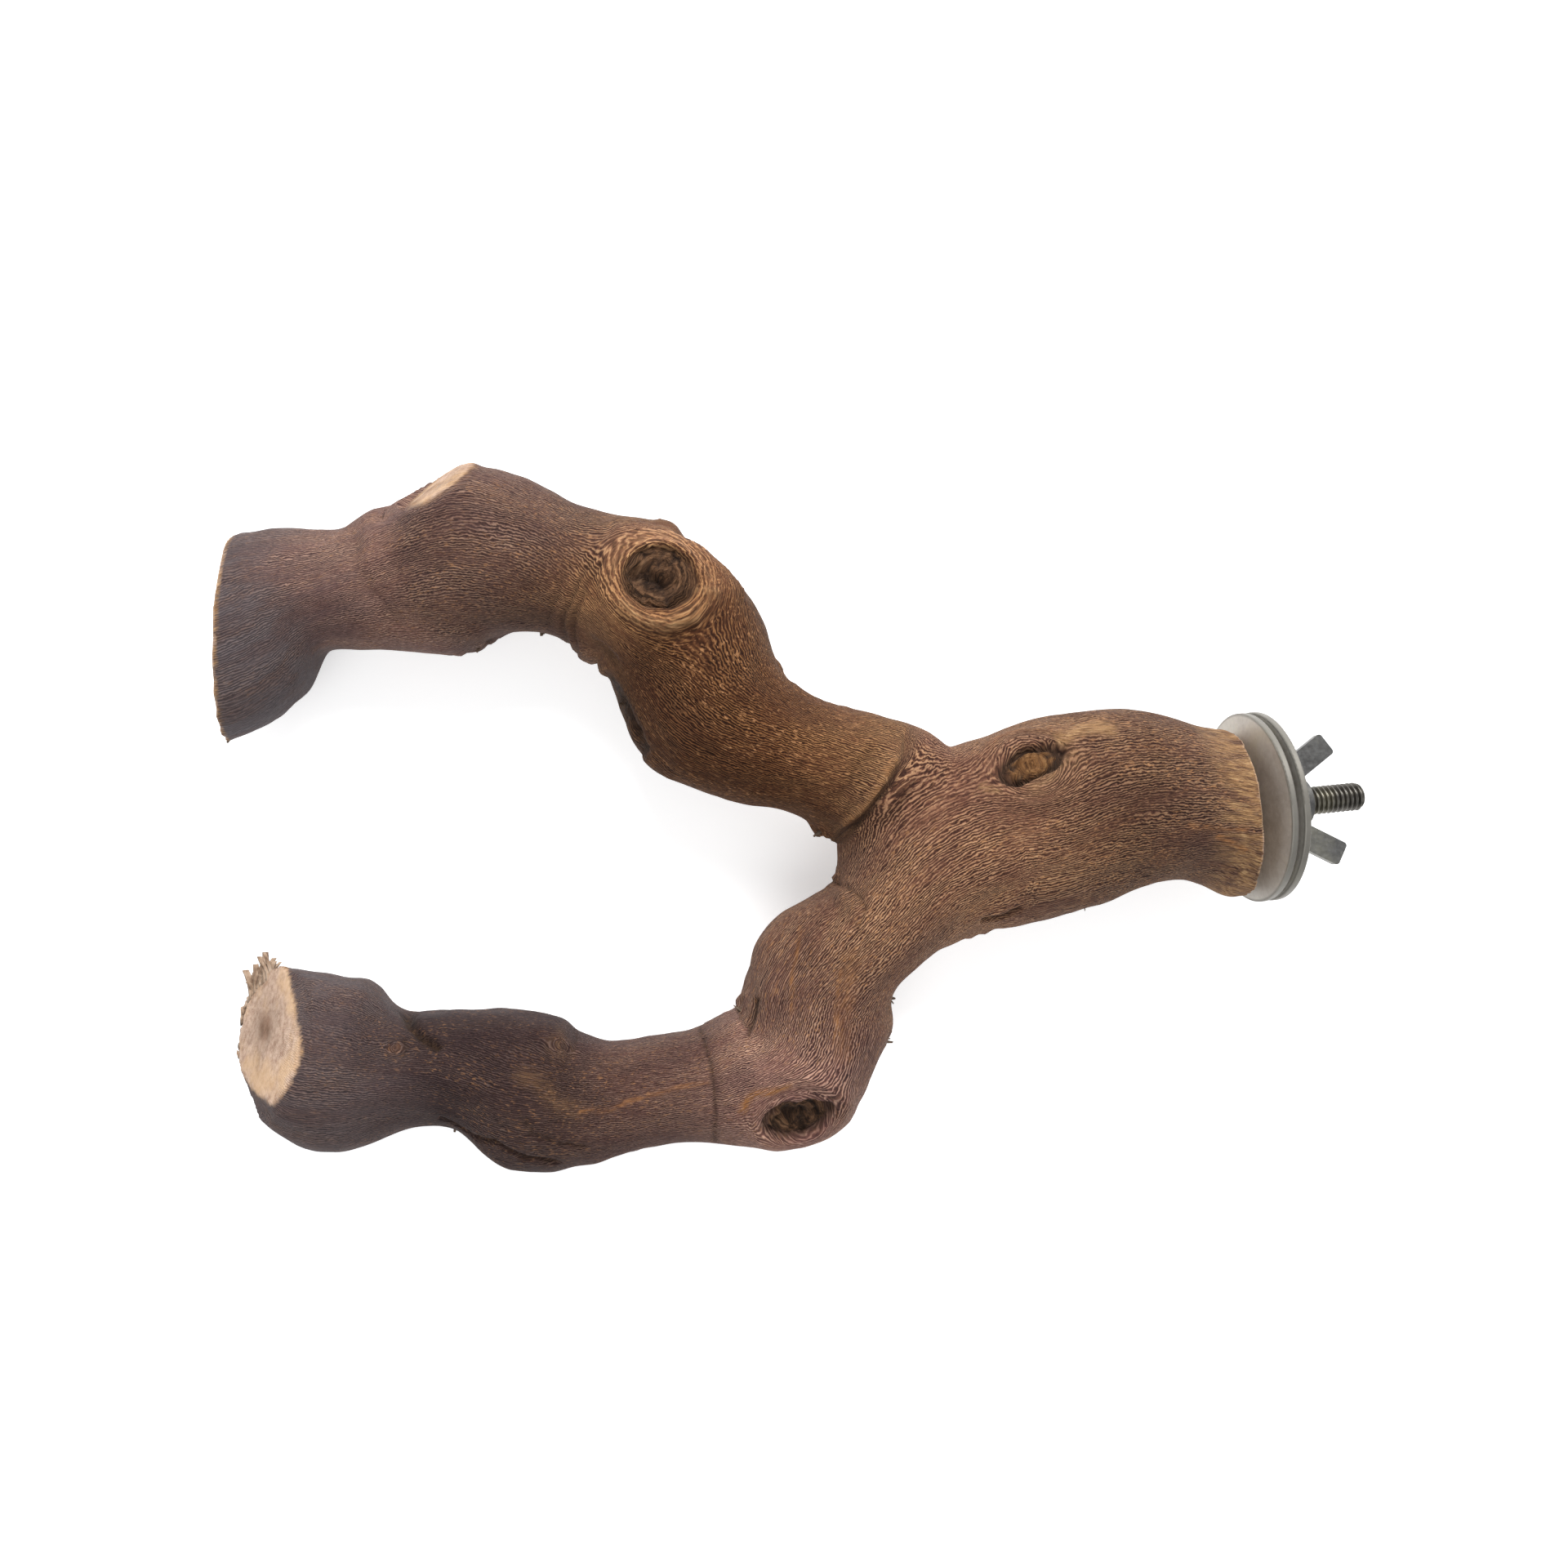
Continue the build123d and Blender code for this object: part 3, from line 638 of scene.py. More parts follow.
def bark_relief(points, grain, knots, free):
    """How far the bark stands out and how dark it is: lumps of two sizes and swells, less fine lengthwise ridges,
    with crumbly knot cores, rough collars and broken places, each from noise. The darkness is painted shade in the
    grooves round the knots' cores, in the pits of the crumbly cores and where broken bark sinks in."""
    socket = np.maximum(knots.moat, knots.core)
    lumps = sum(height * (lattice_noise(points / spacing, seed) - LUMP_MEAN) for height, spacing, seed in LUMPS)
    ridges = sum(weight * np.abs(2 * lattice_noise(grain / spacing, seed) - 1) for weight, spacing, seed in RIDGES)
    for place, radius, height in SWELLS:
        lumps += height * np.exp(-(distance_to(points, place) / radius) ** 2)
    move = free * (1 - socket) * (lumps - RIDGE_DEPTH * ridges)
    spokes = np.abs(np.sin(4.5 * knots.core_turn + 3 * lattice_noise(points / 2, 13)))
    crumble = lattice_noise(points / 0.8, 7) + 0.5 * spokes
    move -= knots.core * 0.9 * (crumble - 0.9)
    move += knots.collar * (1 - socket) * 0.6 * (lattice_noise(points / 1.6, 8) - 0.3)
    broken = np.zeros(len(points))
    for place, radius, depth in RAGGED:
        broken = np.maximum(broken, depth * smooth_step(radius, 0.3 * radius, distance_to(points, place)))
    crumbs = lattice_noise(points / (1.6, 1.6, 2.2), 14) + 0.5 * lattice_noise(points / 0.7, 15) - 0.65
    move += free * broken * crumbs
    # Painted shade: dark in the grooves round the knots' cores, where their crumbly cores sink in, and where broken
    # bark sinks in
    dark = np.maximum(knots.moat * 0.95, knots.core * smooth_step(1.0, 1.35, crumble))
    return move, np.maximum(dark, 0.8 * smooth_step(0.10, 0.45, broken * -crumbs))


def bark_marks(points, normals):
    """The marks' height, darkness as painted shade, paleness and orange at each point: a bell curve of the distance
    from a mark's line, which wanders a little, on bark that doesn't face down."""
    upward = smooth_step(-0.35, 0.1, normals[:, 2])
    wander = 0.5 * (np.stack([lattice_noise(points / 1.7, 9), lattice_noise(points / 1.7, 10)], 1) - 0.5)
    wandered = points + np.pad(wander, ((0, 0), (0, 1)))
    height, dark, pale, orange = np.zeros((4, len(points)))
    for mark in MARKS:
        near = upward * np.exp(-((line_distance(wandered, mark.line) / mark.half_width) ** 2))
        height = height + mark.height * near
        dark = np.maximum(dark, mark.dark * near)
        pale = np.maximum(pale, mark.pale * near)
        orange = np.maximum(orange, mark.orange * near)
    return height, dark, pale, orange


def bark_tones_and_painted_light(points, normals, grain, upper_side, glow):
    """The bark's tint, haze and coarseness, read from each limb's list at a distance along it that wanders, and mixed
    between the limbs at the fork. The tint is the lightness times a plum or an orange, partly the wood's own colour
    and partly painted light and shade. The haze is a painted pale glow of light, with more on the flanks of the outer
    halves."""
    travel = grain[:, 0] + TONE_WANDER * (lattice_noise(points / 9.0, 16) - 0.5)
    upper_share = smooth_step(-TONE_BLEND, TONE_BLEND, upper_side)
    upper_at, *upper_tones = np.transpose(UPPER_TONES_AND_LIGHT)
    lower_at, *lower_tones = np.transpose(LOWER_TONES_AND_LIGHT)
    light, plum, haze, coarse = [
        upper_share * np.interp(travel, upper_at, upper) + (1 - upper_share) * np.interp(travel, lower_at, lower)
        for upper, lower in zip(upper_tones, lower_tones)]
    tint = 1 + np.clip(plum, 0, None)[:, None] * PLUM_TINT + np.clip(plum, None, 0)[:, None] * ORANGE_TINT
    flank = smooth_step(0.55, 0.10, normals[:, 2]) * smooth_step(FLANK_PAINTED_HAZE[0] - 8, FLANK_PAINTED_HAZE[0] + 8, travel)
    return (light * glow)[:, None] * tint, np.clip(haze + FLANK_PAINTED_HAZE[1] * flank, 0, 1), coarse


def branch_fork():
    """The branch: an even skin over the solid, moved along its normals by lumps, lengthwise ridges, knots and marks.
    Its points carry the grain's own straightened space, and how sawn, pale, dark and weathered the wood is."""
    mesh = even_skin("branch_fork", SKIN_SPACING)
    points, normals = mesh_points(mesh), mesh_normals(mesh)
    lines = [smooth_line(UPPER_LINE), smooth_line(LOWER_LINE)]
    sawn, frayed, inside = sawn_wood(points, normals)
    points, outside = wrapped_lower_face(points, sawn)
    sawn, frayed = sawn * (1 - outside), frayed * (1 - outside)
    points = smoothed_wood(points, mesh, np.maximum(sawn, smooth_step(0.9, 0.3, inside) * (1 - outside)))
    knots = knot_forms(points, lines)
    points = points + knots.shift
    grain, upper_side = bark_grain(points, knots.flowed, lines)

    free = smooth_step(0.2, 1.6, inside)
    move, dark = bark_relief(points, grain, knots, free)
    mark_height, mark_painted_shade, mark_pale, orange = bark_marks(points, normals)
    torn_rim = 1.4 * frayed**0.8 * smooth_step(0.15, 0.60, lattice_noise(grain / (2.5, 0.6, 0.6), 11))
    pale = np.maximum(np.maximum(knots.collar, mark_pale), torn_rim)
    points = in_solids_box(points + (move + free * mark_height)[:, None] * normals, BOX_MARGIN)
    tone_and_painted_light, painted_haze, coarse = bark_tones_and_painted_light(points, normals, grain, upper_side, knots.glow)

    mesh.vertices.foreach_set("co", (points * MM).ravel())
    mesh.update()
    mesh.shade_smooth()
    mesh.materials.clear()
    piece = bpy.data.objects.new("branch_skin", mesh)
    bpy.context.scene.collection.objects.link(piece)
    stored = {
        "grain": grain, "sawn": sawn, "pale": np.clip(pale, 0, 1.4), "orange": np.clip(orange, 0, 1),
        "dark": np.clip(np.maximum(dark, mark_painted_shade), 0, 1), "core": knots.core, "core_orange": knots.core_orange,
        "painted_haze": painted_haze, "tone_and_painted_light": tone_and_painted_light, "coarse": coarse,
    }
    for name, values in stored.items():
        point_values(piece, name, values)
    return piece


def ring_faces(rows, columns, tubes=1):
    """Faces of tubes whose points lie in rows of rings: quads between rows, and fans to one point at each end."""
    row = np.arange(rows - 1)[:, None] * columns
    step = np.arange(columns)[None]
    after = (step + 1) % columns
    quads = np.stack([row + step, row + after, row + columns + after, row + columns + step], -1).reshape(-1, 4)
    first = rows * columns
    last = first + 1
    turn = np.arange(columns)
    fan_in = np.stack([np.full(columns, first), (turn + 1) % columns, turn], 1)
    end = (rows - 1) * columns
    fan_out = np.stack([np.full(columns, last), end + turn, end + (turn + 1) % columns], 1)
    shift = np.arange(tubes)[:, None, None] * (rows * columns + 2)
    all_quads = (quads[None] + shift).reshape(-1, 4).tolist()
    all_fans = (np.vstack([fan_in, fan_out])[None] + shift).reshape(-1, 3).tolist()
    return all_quads + all_fans


def thread_height(phase):
    """A thread's height from root 0 to crest 1 over one pitch: straight flanks between a flat root and a
    flat crest."""
    climb = 1 - np.abs(2 * (phase % 1) - 1)
    return np.clip((climb - THREAD_ROOT) / THREAD_FLANK, 0, 1)


def hanger_bolt():
    """The bolt as one surface over distance and turn: the radius follows a thread that climbs one pitch each turn.
    The stud has a fine thread and a chamfered tip, and the end in the wood a coarse thread that tapers to a point."""
    turn = np.arange(BOLT_COLUMNS)[None] * 2 * math.pi / BOLT_COLUMNS
    stud_x = np.arange(STUD_START, STUD_TIP + 0.001, STUD_PITCH / ROWS_PER_PITCH)[:, None]
    screw_x = np.arange(SCREW_TIP + 0.05, STUD_START, SCREW_PITCH / ROWS_PER_PITCH)[:, None]
    stud_r = STUD_DIA / 2 - STUD_THREAD_DEPTH * (1 - thread_height(stud_x / STUD_PITCH - turn / (2 * math.pi)))
    stud_r = np.minimum(stud_r, STUD_DIA / 2 - STUD_CHAMFER - (stud_x - STUD_TIP))
    screw_r = SCREW_DIA / 2 - SCREW_THREAD_DEPTH * (1 - thread_height(screw_x / SCREW_PITCH - turn / (2 * math.pi)))
    screw_r = np.minimum(screw_r, SCREW_DIA / 2 * (screw_x - SCREW_TIP) / SCREW_POINT)
    x = np.vstack([screw_x, stud_x])
    r = np.vstack([screw_r, stud_r])
    rings = np.stack([x + 0 * turn, r * np.cos(turn), r * np.sin(turn)], -1).reshape(-1, 3)
    points = np.vstack([rings, [(SCREW_TIP, 0, 0), (float(x[-1, 0]), 0, 0)]])
    return new_mesh_object("bolt_thread", points, ring_faces(len(x), BOLT_COLUMNS))


def strands(name, root, lean, length, width, taper, seed):
    """Torn wood: flat tapered tubes along bent paths, each from a root in the wood and along its own lean.
    A path bows by a random amount with the square of the distance, and its width shrinks evenly by the taper."""
    rows, sides = 6, 6
    share = np.linspace(0, 1, rows)[None, :, None]
    bow = np.random.default_rng(seed).normal(0, 0.22, root.shape)
    path = root[:, None] + length[:, None, None] * (unit(lean)[:, None] * (share - 0.3) + bow[:, None] * share**2)
    half = width[:, None, None] * (1 - taper * share)
    turn = (np.arange(sides) * 2 * math.pi / sides)[None, None, :, None]
    one = unit(np.cross(unit(lean), (0.2, 0.1, 1.0)))
    two = np.cross(unit(lean), one)
    oval = np.cos(turn) * one[:, None, None] + 0.4 * np.sin(turn) * two[:, None, None]
    rings = path[:, :, None] + half[..., None] * oval
    ends = np.stack([path[:, 0], path[:, -1]], 1)
    points = np.concatenate([rings.reshape(len(root), -1, 3), ends], 1).reshape(-1, 3)
    return new_mesh_object(name, in_solids_box(points), ring_faces(rows, sides, len(root)))


def torn_fibres():
    """Fibres that the saw left on the lower limb's end, standing out from the rim of its face: a tuft on the side
    that faces the upper limb, and short ones round the far rim. The rim is an oval in the plane of the saw cut."""
    random = np.random.default_rng(21)
    tuft, rim = FIBRE_COUNTS
    count = tuft + rim
    in_tuft = np.arange(count) < tuft
    round_rim = np.radians(np.concatenate([random.choice(FIBRE_CLUMPS, tuft) + random.normal(0, 2.5, tuft),
                                           random.uniform(*FAR_RIM, rim)]))
    cut = LOWER_END
    face = unit(cut.facing)
    y = LOWER_END_MIDDLE[0] + LOWER_END_HALF[0] * np.cos(round_rim)
    z = LOWER_END_MIDDLE[1] + LOWER_END_HALF[1] * np.sin(round_rim)
    x = cut.at[0] - (face[1] * (y - cut.at[1]) + face[2] * (z - cut.at[2])) / face[0]
    rim_points = np.stack([x, y, z], 1)
    outward = unit(rim_points - np.array(cut.at))
    lean = outward + in_tuft[:, None] * np.array(TUFT_LEAN) + random.normal(0, 0.10, (count, 3))
    length = np.where(in_tuft, random.uniform(*TUFT_LENGTH, count), random.uniform(*RIM_LENGTH, count))
    root = rim_points - 0.5 * face * random.random((count, 1)) - 0.3 * outward
    return strands("torn_fibres", root, lean, length, random.uniform(*FIBRE_HALF_WIDTH, count), 0.35, 22)


def bark_splinters(skin):
    """Loose slivers of bark on the limbs' edges, three to each place, rooted in the nearest point of the skin and
    leaning out of it near their heading."""
    random = np.random.default_rng(31)
    points, normals = mesh_points(skin.data), mesh_normals(skin.data)
    nearest = np.repeat([distance_to(points, place).argmin() for place, _ in SPLINTERS], SPLINTERS_EACH)
    heading = np.repeat(np.array([heading for _, heading in SPLINTERS], float), SPLINTERS_EACH, 0)
    lean = unit(heading) + 0.3 * normals[nearest] + random.normal(0, 0.3, heading.shape)
    root = points[nearest] - 0.25 * normals[nearest] + random.normal(0, 0.18, heading.shape)
    return strands("bark_splinters", root, lean, random.uniform(0.7, 1.7, len(root)),
                   random.uniform(0.25, 0.5, len(root)), 0.7, 32)


def add_node(tree, kind, settings=None, **inputs):
    """One shader node. Settings are its properties, and inputs its sockets by name, with spaces as underscores."""
    node = tree.nodes.new(kind)
    for name, value in (settings or {}).items():
        setattr(node, name, value)
    for name, value in inputs.items():
        socket = node.inputs[int(name[1:])] if name[0] == "_" else node.inputs[name.replace("_", " ")]
        if isinstance(value, bpy.types.NodeSocket):
            tree.links.new(value, socket)
        else:
            socket.default_value = value
    return node


def ramp(tree, value, stops):
    """A colour ramp: stops are pairs of a place from 0 to 1 and a colour or a grey."""
    node = add_node(tree, "ShaderNodeValToRGB", Fac=value)
    elements = node.color_ramp.elements
    while len(elements) < len(stops):
        elements.new(0.5)
    for element, (place, colour) in zip(elements, stops):
        element.position = place
        element.color = (*colour, 1) if isinstance(colour, tuple) else (colour, colour, colour, 1)
    return node.outputs["Color"]


def mix(tree, share, first, second, blend="MIX"):
    """Two colours mixed by a share."""
    settings = {"data_type": "RGBA", "blend_type": blend}
    node = add_node(tree, "ShaderNodeMix", settings, _0=share, _6=first, _7=second)
    return node.outputs[2]


def maths(tree, operation, first, second=0.0):
    """One sum on numbers."""
    return add_node(tree, "ShaderNodeMath", {"operation": operation}, _0=first, _1=second).outputs[0]


def stretched_noise(tree, vector, stretch, detail=3.0, roughness=0.55, distortion=0.0, place=(0, 0, 0)):
    """Noise over a vector in millimetres that is first stretched by a factor on each axis."""
    mapped = add_node(tree, "ShaderNodeMapping", Vector=vector, Scale=stretch, Location=place).outputs[0]
    node = add_node(tree, "ShaderNodeTexNoise", Vector=mapped, Scale=1.0, Detail=detail, Roughness=roughness,
                    Distortion=distortion)
    return node.outputs["Fac"]


def attribute(tree, name, field="Fac"):
    """A value that the mesh stores at its points."""
    return add_node(tree, "ShaderNodeAttribute", {"attribute_name": name}).outputs[field]


def new_material(name):
    """An empty node material with its surface shader."""
    material = bpy.data.materials.new(name)
    material.use_nodes = True
    tree = material.node_tree
    tree.nodes.clear()
    surface = add_node(tree, "ShaderNodeBsdfPrincipled")
    add_node(tree, "ShaderNodeOutputMaterial", Surface=surface.outputs[0])
    return material, tree, surface


def link(tree, value, socket):
    """Joins a value to a shader's socket."""
    tree.links.new(value, socket)


def streaky(tree, value, streaks):
    """A patch broken into fine streaks: the value where the streaks are high, and little of it where they are low."""
    return maths(tree, "MULTIPLY", value, ramp(tree, streaks, [(0.38, 0.25), (0.60, 1.25)]))


def weighted(tree, first, weight, second, other_weight):
    """Two numbers, each times its own weight, added."""
    return maths(tree, "ADD", maths(tree, "MULTIPLY", first, weight), maths(tree, "MULTIPLY", second, other_weight))


def axis_radius(tree, place):
    """How far a place lies from the X axis."""
    parts = add_node(tree, "ShaderNodeSeparateXYZ", Vector=place).outputs
    across = add_node(tree, "ShaderNodeCombineXYZ", X=0.0, Y=parts["Y"], Z=parts["Z"]).outputs[0]
    return add_node(tree, "ShaderNodeVectorMath", {"operation": "LENGTH"}, _0=across).outputs["Value"]


def bark_ridges(tree, grain, fine):
    """Fine wavy ridges along a limb: a sine of the turn round it, with a phase that drifts, mixed with the
    fine grain."""
    parts = add_node(tree, "ShaderNodeSeparateXYZ", Vector=grain)
    drift = stretched_noise(tree, grain, (0.06, 0.20, 0.20), detail=1.0, place=(0, 9, 0))
    ripple = stretched_noise(tree, grain, (0.90, 1.6, 1.6), detail=2.0, place=(0, 0, 9))
    bends = weighted(tree, drift, 40.0, ripple, 14.0)
    turn = maths(tree, "ARCTAN2", parts.outputs["Y"], parts.outputs["Z"])
    phase = maths(tree, "ADD", maths(tree, "MULTIPLY", turn, float(BARK_LINES)), bends)
    line = maths(tree, "ADD", maths(tree, "MULTIPLY", maths(tree, "SINE", phase), 0.5), 0.5)
    patch = stretched_noise(tree, grain, (0.12, 0.35, 0.35), detail=2.0, place=(30, 0, 0))
    share = ramp(tree, patch, [(0.35, 0.32), (0.62, 0.66)])
    return add_node(tree, "ShaderNodeMix", _0=share, _2=fine, _3=line).outputs[0]


def end_grain(tree, grain, speck):
    """A sawn end: tan wood with faint uneven rings, a brown heart and golden sapwood."""
    radius = axis_radius(tree, grain)
    wobble = stretched_noise(tree, grain, (0.3, 0.3, 0.3), detail=2.0, place=(9, 0, 0))
    phase = weighted(tree, radius, 2.6, wobble, 16.0)
    rings = maths(tree, "ADD", maths(tree, "MULTIPLY", maths(tree, "SINE", phase), 0.05), speck)
    patch = stretched_noise(tree, grain, (0.15, 0.15, 0.15), place=(0, 3, 0))
    wood = mix(tree, ramp(tree, patch, [(0.46, 0.0), (0.60, 0.55)]), ramp(tree, rings, SAWN_SHADES), SAPWOOD)
    heart = ramp(tree, weighted(tree, radius, 0.1, wobble, 0.2), [(0.20, 0.65), (0.36, 0.0)])
    return mix(tree, heart, wood, HEARTWOOD)


def barked_wood():
    """Reddish-brown wood with fine wavy lengthwise ridges, golden flecks, pale and orange torn places
    and sawn ends. It also carries painted light: a tint that is partly painted light and shade, a painted haze of
    light over the ends and flanks, and painted shade in hollows and cracks."""
    material, tree, surface = new_material("barked_wood")
    grain = attribute(tree, "grain", "Vector")
    fine = stretched_noise(tree, grain, (0.75, 4.6, 4.6), detail=3.0, roughness=0.6, distortion=0.4)
    grit = stretched_noise(tree, grain, (2.4, 5.5, 5.5), detail=2.0, place=(50, 0, 0))
    broad = stretched_noise(tree, grain, (0.05, 0.16, 0.16), detail=3.0, place=(5, 0, 0))
    fleck = stretched_noise(tree, grain, (1.3, 4.2, 4.2), detail=2.0, place=(0, 40, 0))
    streaks = stretched_noise(tree, grain, (0.40, 4.0, 4.0), detail=2.0, place=(20, 0, 20))
    speck = stretched_noise(tree, grain, (1.3, 1.3, 1.3), detail=4.0, roughness=0.7, place=(0, 0, 70))
    ridges = bark_ridges(tree, grain, fine)
    coarse = attribute(tree, "coarse")
    plain = maths(tree, "ADD", maths(tree, "MULTIPLY", coarse, 0.6), 0.4)
    ridges = maths(tree, "ADD", maths(tree, "MULTIPLY", maths(tree, "SUBTRACT", ridges, 0.5), plain), 0.5)

    bark = ramp(tree, ridges, BARK_SHADES)
    warm = mix(tree, ramp(tree, broad, [(0.38, 0.0), (0.62, 1.0)]), COOL_BARK, WARM_BARK)
    bark = mix(tree, 1.0, bark, warm, "MULTIPLY")
    bark = mix(tree, 1.0, bark, ramp(tree, grit, [(0.34, 0.62), (0.50, 1.0), (0.68, 1.0)]), "MULTIPLY")
    # The tint along the limbs: partly the wood's own colour and partly painted light and shade
    bark = mix(tree, 1.0, bark, attribute(tree, "tone_and_painted_light", "Color"), "MULTIPLY")
    golden = maths(tree, "MULTIPLY", ramp(tree, fleck, [(0.58, 0.0), (0.70, 0.95)]),
                   ramp(tree, broad, [(0.40, 0.25), (0.58, 1.0)]))
    bark = mix(tree, maths(tree, "MULTIPLY", golden, coarse), bark, GOLDEN_FLECK)
    # Painted haze: a pale bluish grey glow of light mixed over the limbs' ends and flanks, in patches
    patch = stretched_noise(tree, grain, (0.10, 0.60, 0.60), detail=3.0, place=(0, 20, 20))
    haze = maths(tree, "MULTIPLY", attribute(tree, "painted_haze"), ramp(tree, patch, [(0.38, 0.65), (0.60, 1.0)]))
    bark = mix(tree, haze, bark, ramp(tree, ridges, PAINTED_HAZE_SHADES))

    bark = mix(tree, streaky(tree, attribute(tree, "pale"), streaks), bark, ramp(tree, fine, TORN_SHADES))
    bark = mix(tree, streaky(tree, attribute(tree, "orange"), streaks), bark, ramp(tree, fine, RAW_SHADES))
    crumb, rust = ramp(tree, speck, CRUMB_SHADES), ramp(tree, speck, RUST_SHADES)
    bark = mix(tree, attribute(tree, "core"), bark, mix(tree, attribute(tree, "core_orange"), crumb, rust))
    # Painted shade: near black in the knots' grooves and holes, in cracks and in sunken broken bark
    bark = mix(tree, attribute(tree, "dark"), bark, ramp(tree, speck, PAINTED_SHADE_COLOURS))
    bark = mix(tree, attribute(tree, "sawn"), bark, end_grain(tree, grain, speck))
    link(tree, bark, surface.inputs["Base Color"])

    link(tree, ramp(tree, ridges, [(0.2, 0.95), (0.8, 0.72)]), surface.inputs["Roughness"])
    surface.inputs["Specular IOR Level"].default_value = 0.14
    surface.inputs["Sheen Weight"].default_value = 0.02
    surface.inputs["Sheen Roughness"].default_value = 0.45
    crumbly = maths(tree, "ADD", maths(tree, "MULTIPLY", attribute(tree, "core"), 4.0), 0.5)
    height = maths(tree, "ADD", ridges, maths(tree, "MULTIPLY", speck, crumbly))
    bump = add_node(tree, "ShaderNodeBump", Strength=0.9, Distance=0.16 * MM, Height=height)
    link(tree, bump.outputs["Normal"], surface.inputs["Normal"])
    return material


def torn_fibre_wood(name, lightness):
    """Torn wood fibre, darker in streaks."""
    material, tree, surface = new_material(name)
    place = add_node(tree, "ShaderNodeTexCoord").outputs["Object"]
    streak = stretched_noise(tree, place, (900.0, 500.0, 900.0), detail=3.0, roughness=0.65)
    shades = [(at, tuple(lightness * part for part in shade)) for at, shade in FIBRE_SHADES]
    colour = ramp(tree, streak, shades)
    link(tree, colour, surface.inputs["Base Color"])
    link(tree, ramp(tree, streak, [(0.3, 0.95), (0.7, 0.75)]), surface.inputs["Roughness"])
    surface.inputs["Specular IOR Level"].default_value = 0.25
    bump = add_node(tree, "ShaderNodeBump", Strength=0.6, Distance=0.15 * MM, Height=streak)
    link(tree, bump.outputs["Normal"], surface.inputs["Normal"])
    return material


def plated_steel(name, dark, light, roughness, stain, metallic=1.0, rim_radius=None):
    """Zinc-plated steel: a cloudy grey plating with fine scratches, and yellow-green stain in places. A rim round the
    bolt's axis, where there is one, is painted darker as shade."""
    material, tree, surface = new_material(name)
    place = add_node(tree, "ShaderNodeTexCoord").outputs["Object"]
    cloud = stretched_noise(tree, place, (160.0, 160.0, 160.0), detail=4.0, roughness=0.65)
    scratch = stretched_noise(tree, place, (350.0, 2600.0, 300.0), detail=2.0, roughness=0.6)
    grit = stretched_noise(tree, place, (1500.0, 1500.0, 1500.0), detail=3.0, roughness=0.7)
    mottled = weighted(tree, cloud, 0.65, grit, 0.35)
    colour = ramp(tree, mottled, [(0.35, dark), (0.65, light)])
    tint = maths(tree, "MULTIPLY", ramp(tree, cloud, [(0.52, 0.0), (0.70, 1.0)]), stain)
    colour = mix(tree, tint, colour, PLATING_STAIN)
    if rim_radius:
        share = maths(tree, "MULTIPLY", axis_radius(tree, place), 1 / (rim_radius * MM))
        # Painted shade: the rim darker than the rest of the plating
        colour = mix(tree, ramp(tree, share, [(0.965, 0.0), (0.992, 0.85)]), colour, PLATING_RIM_SHADE)
    link(tree, colour, surface.inputs["Base Color"])
    surface.inputs["Metallic"].default_value = metallic
    gloss = weighted(tree, scratch, 0.22, grit, 0.16)
    link(tree, maths(tree, "ADD", gloss, roughness - 0.19), surface.inputs["Roughness"])
    height = maths(tree, "ADD", scratch, grit)
    bump = add_node(tree, "ShaderNodeBump", Strength=0.18, Distance=0.05 * MM, Height=height)
    link(tree, bump.outputs["Normal"], surface.inputs["Normal"])
    return material


def pale_floor(height_mm):
    """A wide pale floor: a plane with a soft matt finish, a little mottled."""
    sides = ((-1, -1), (1, -1), (1, 1), (-1, 1))
    corners = [(x * FLOOR_REACH, y * FLOOR_REACH, height_mm) for x, y in sides]
    floor = new_mesh_object("floor", corners, [(0, 1, 2, 3)])
    material, tree, surface = new_material("pale_floor")
    place = add_node(tree, "ShaderNodeTexCoord").outputs["Object"]
    cloud = stretched_noise(tree, place, (3.0, 3.0, 3.0))
    link(tree, ramp(tree, cloud, [(0.3, 0.93), (0.7, 0.96)]), surface.inputs["Base Color"])
    surface.inputs["Roughness"].default_value = 0.9
    surface.inputs["Emission Color"].default_value = (1, 1, 1, 1)
    surface.inputs["Emission Strength"].default_value = FLOOR_GLOW
    floor.data.materials.append(material)


def soft_light(name, at_mm, size_mm, watts):
    """A square soft light at a place, facing the middle of the perch."""
    lamp = bpy.data.lights.new(name, "AREA")
    lamp.shape = "SQUARE"
    lamp.size = size_mm * MM
    lamp.energy = watts
    holder = bpy.data.objects.new(name, lamp)
    back = unit(np.array(at_mm, float) - np.array(LIGHTS_FACE, float))
    right = unit(np.cross((0.02, 1.0, 0.03), back))
    up = np.cross(back, right)
    turn = Matrix((right, up, back)).transposed().to_4x4()
    holder.matrix_world = Matrix.Translation(np.array(at_mm) * MM) @ turn
    bpy.context.scene.collection.objects.link(holder)


def studio_light():
    """A pale surround, a large key light high on the far side and a weaker one on the near side."""
    world = bpy.data.worlds.new("pale_surround")
    world.use_nodes = True
    background = world.node_tree.nodes["Background"].inputs
    background["Color"].default_value = SURROUND_COLOUR
    background["Strength"].default_value = SURROUND_STRENGTH
    bpy.context.scene.world = world
    soft_light("key", *KEY_LIGHT)
    soft_light("fill", *FILL_LIGHT)


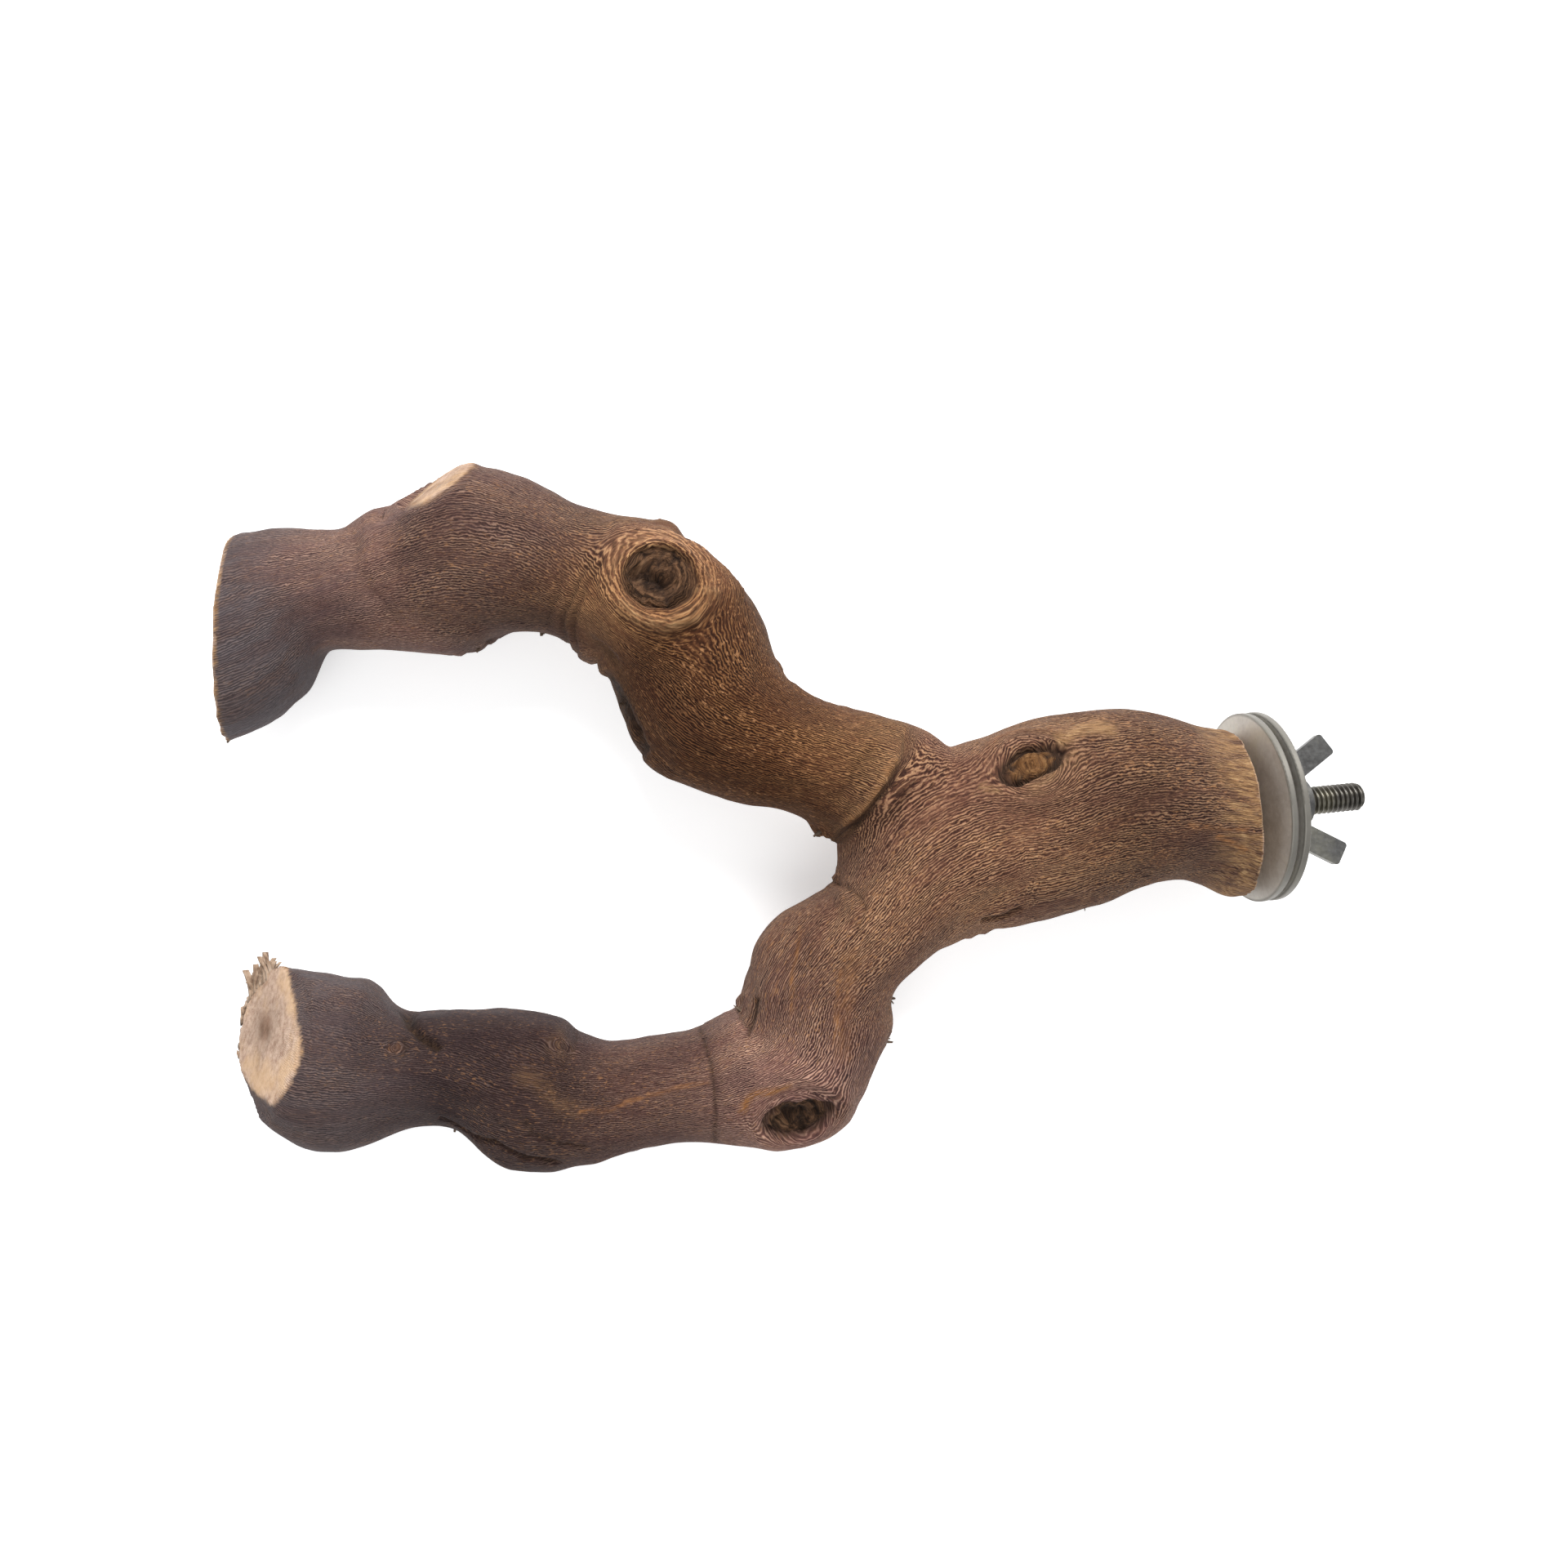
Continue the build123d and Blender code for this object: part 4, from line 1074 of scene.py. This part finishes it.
def photograph_camera():
    """The camera over the fork, tipped along the bolt's axis and rolled, as in the photograph."""
    camera = bpy.data.cameras.new("camera")
    camera.sensor_width = SENSOR
    camera.lens = SENSOR * FOCAL_PIXELS / IMAGE_PIXELS
    camera.clip_start = 0.01
    holder = bpy.data.objects.new("camera", camera)
    tilt, roll = CAMERA_TILT, CAMERA_ROLL
    level = np.array([math.cos(tilt), 0, math.sin(tilt)])
    right = math.cos(roll) * level - math.sin(roll) * np.array([0, 1.0, 0])
    up = math.sin(roll) * level + math.cos(roll) * np.array([0, 1.0, 0])
    back = np.array([-math.sin(tilt), 0, math.cos(tilt)])
    turn = Matrix((right, up, back)).transposed().to_4x4()
    holder.matrix_world = Matrix.Translation(np.array(CAMERA_AT) * MM) @ turn
    bpy.context.scene.collection.objects.link(holder)
    bpy.context.scene.camera = holder


def dress(piece, material, slot, body, *nodes):
    """Gives a piece its material, sets it riding on a body, and hides the solids that it stands for. The slot is not
    used.
    """
    piece.data.materials.append(material)
    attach(piece, body)
    if nodes:
        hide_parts(*nodes)


def finish_node(node, material):
    """Gives a carried-over solid its finish."""
    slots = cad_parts[node].data.materials
    slots.clear()
    slots.append(material)


branch_skin = branch_fork()
dress(branch_skin, barked_wood(), "barked_wood", "perch", "branch_fork")
dress(torn_fibres(), torn_fibre_wood("torn_fibre_wood", 0.85), "barked_wood", "perch")
dress(bark_splinters(branch_skin), torn_fibre_wood("bark_splinter_wood", 0.32), "barked_wood", "perch")
bolt_steel = plated_steel("bolt_steel", *BOLT_GREYS, roughness=0.38, stain=0.15)
dress(hanger_bolt(), bolt_steel, "plated_bolt", "perch", "hanger_bolt")
washer_steel = plated_steel("washer_plating", *WASHER_GREYS, roughness=0.50, stain=0.30, metallic=0.55,
                            rim_radius=WASHER_RADIUS)
finish_node("inner_washer", washer_steel)
finish_node("outer_washer", washer_steel)
finish_node("wing_nut", plated_steel("nut_plating", *NUT_GREYS, roughness=0.44, stain=0.20))

pale_floor(float(cad_box[0][2]) / MM - FLOOR_DROP)
studio_light()
photograph_camera()
bpy.context.scene.view_settings.view_transform = "Standard"
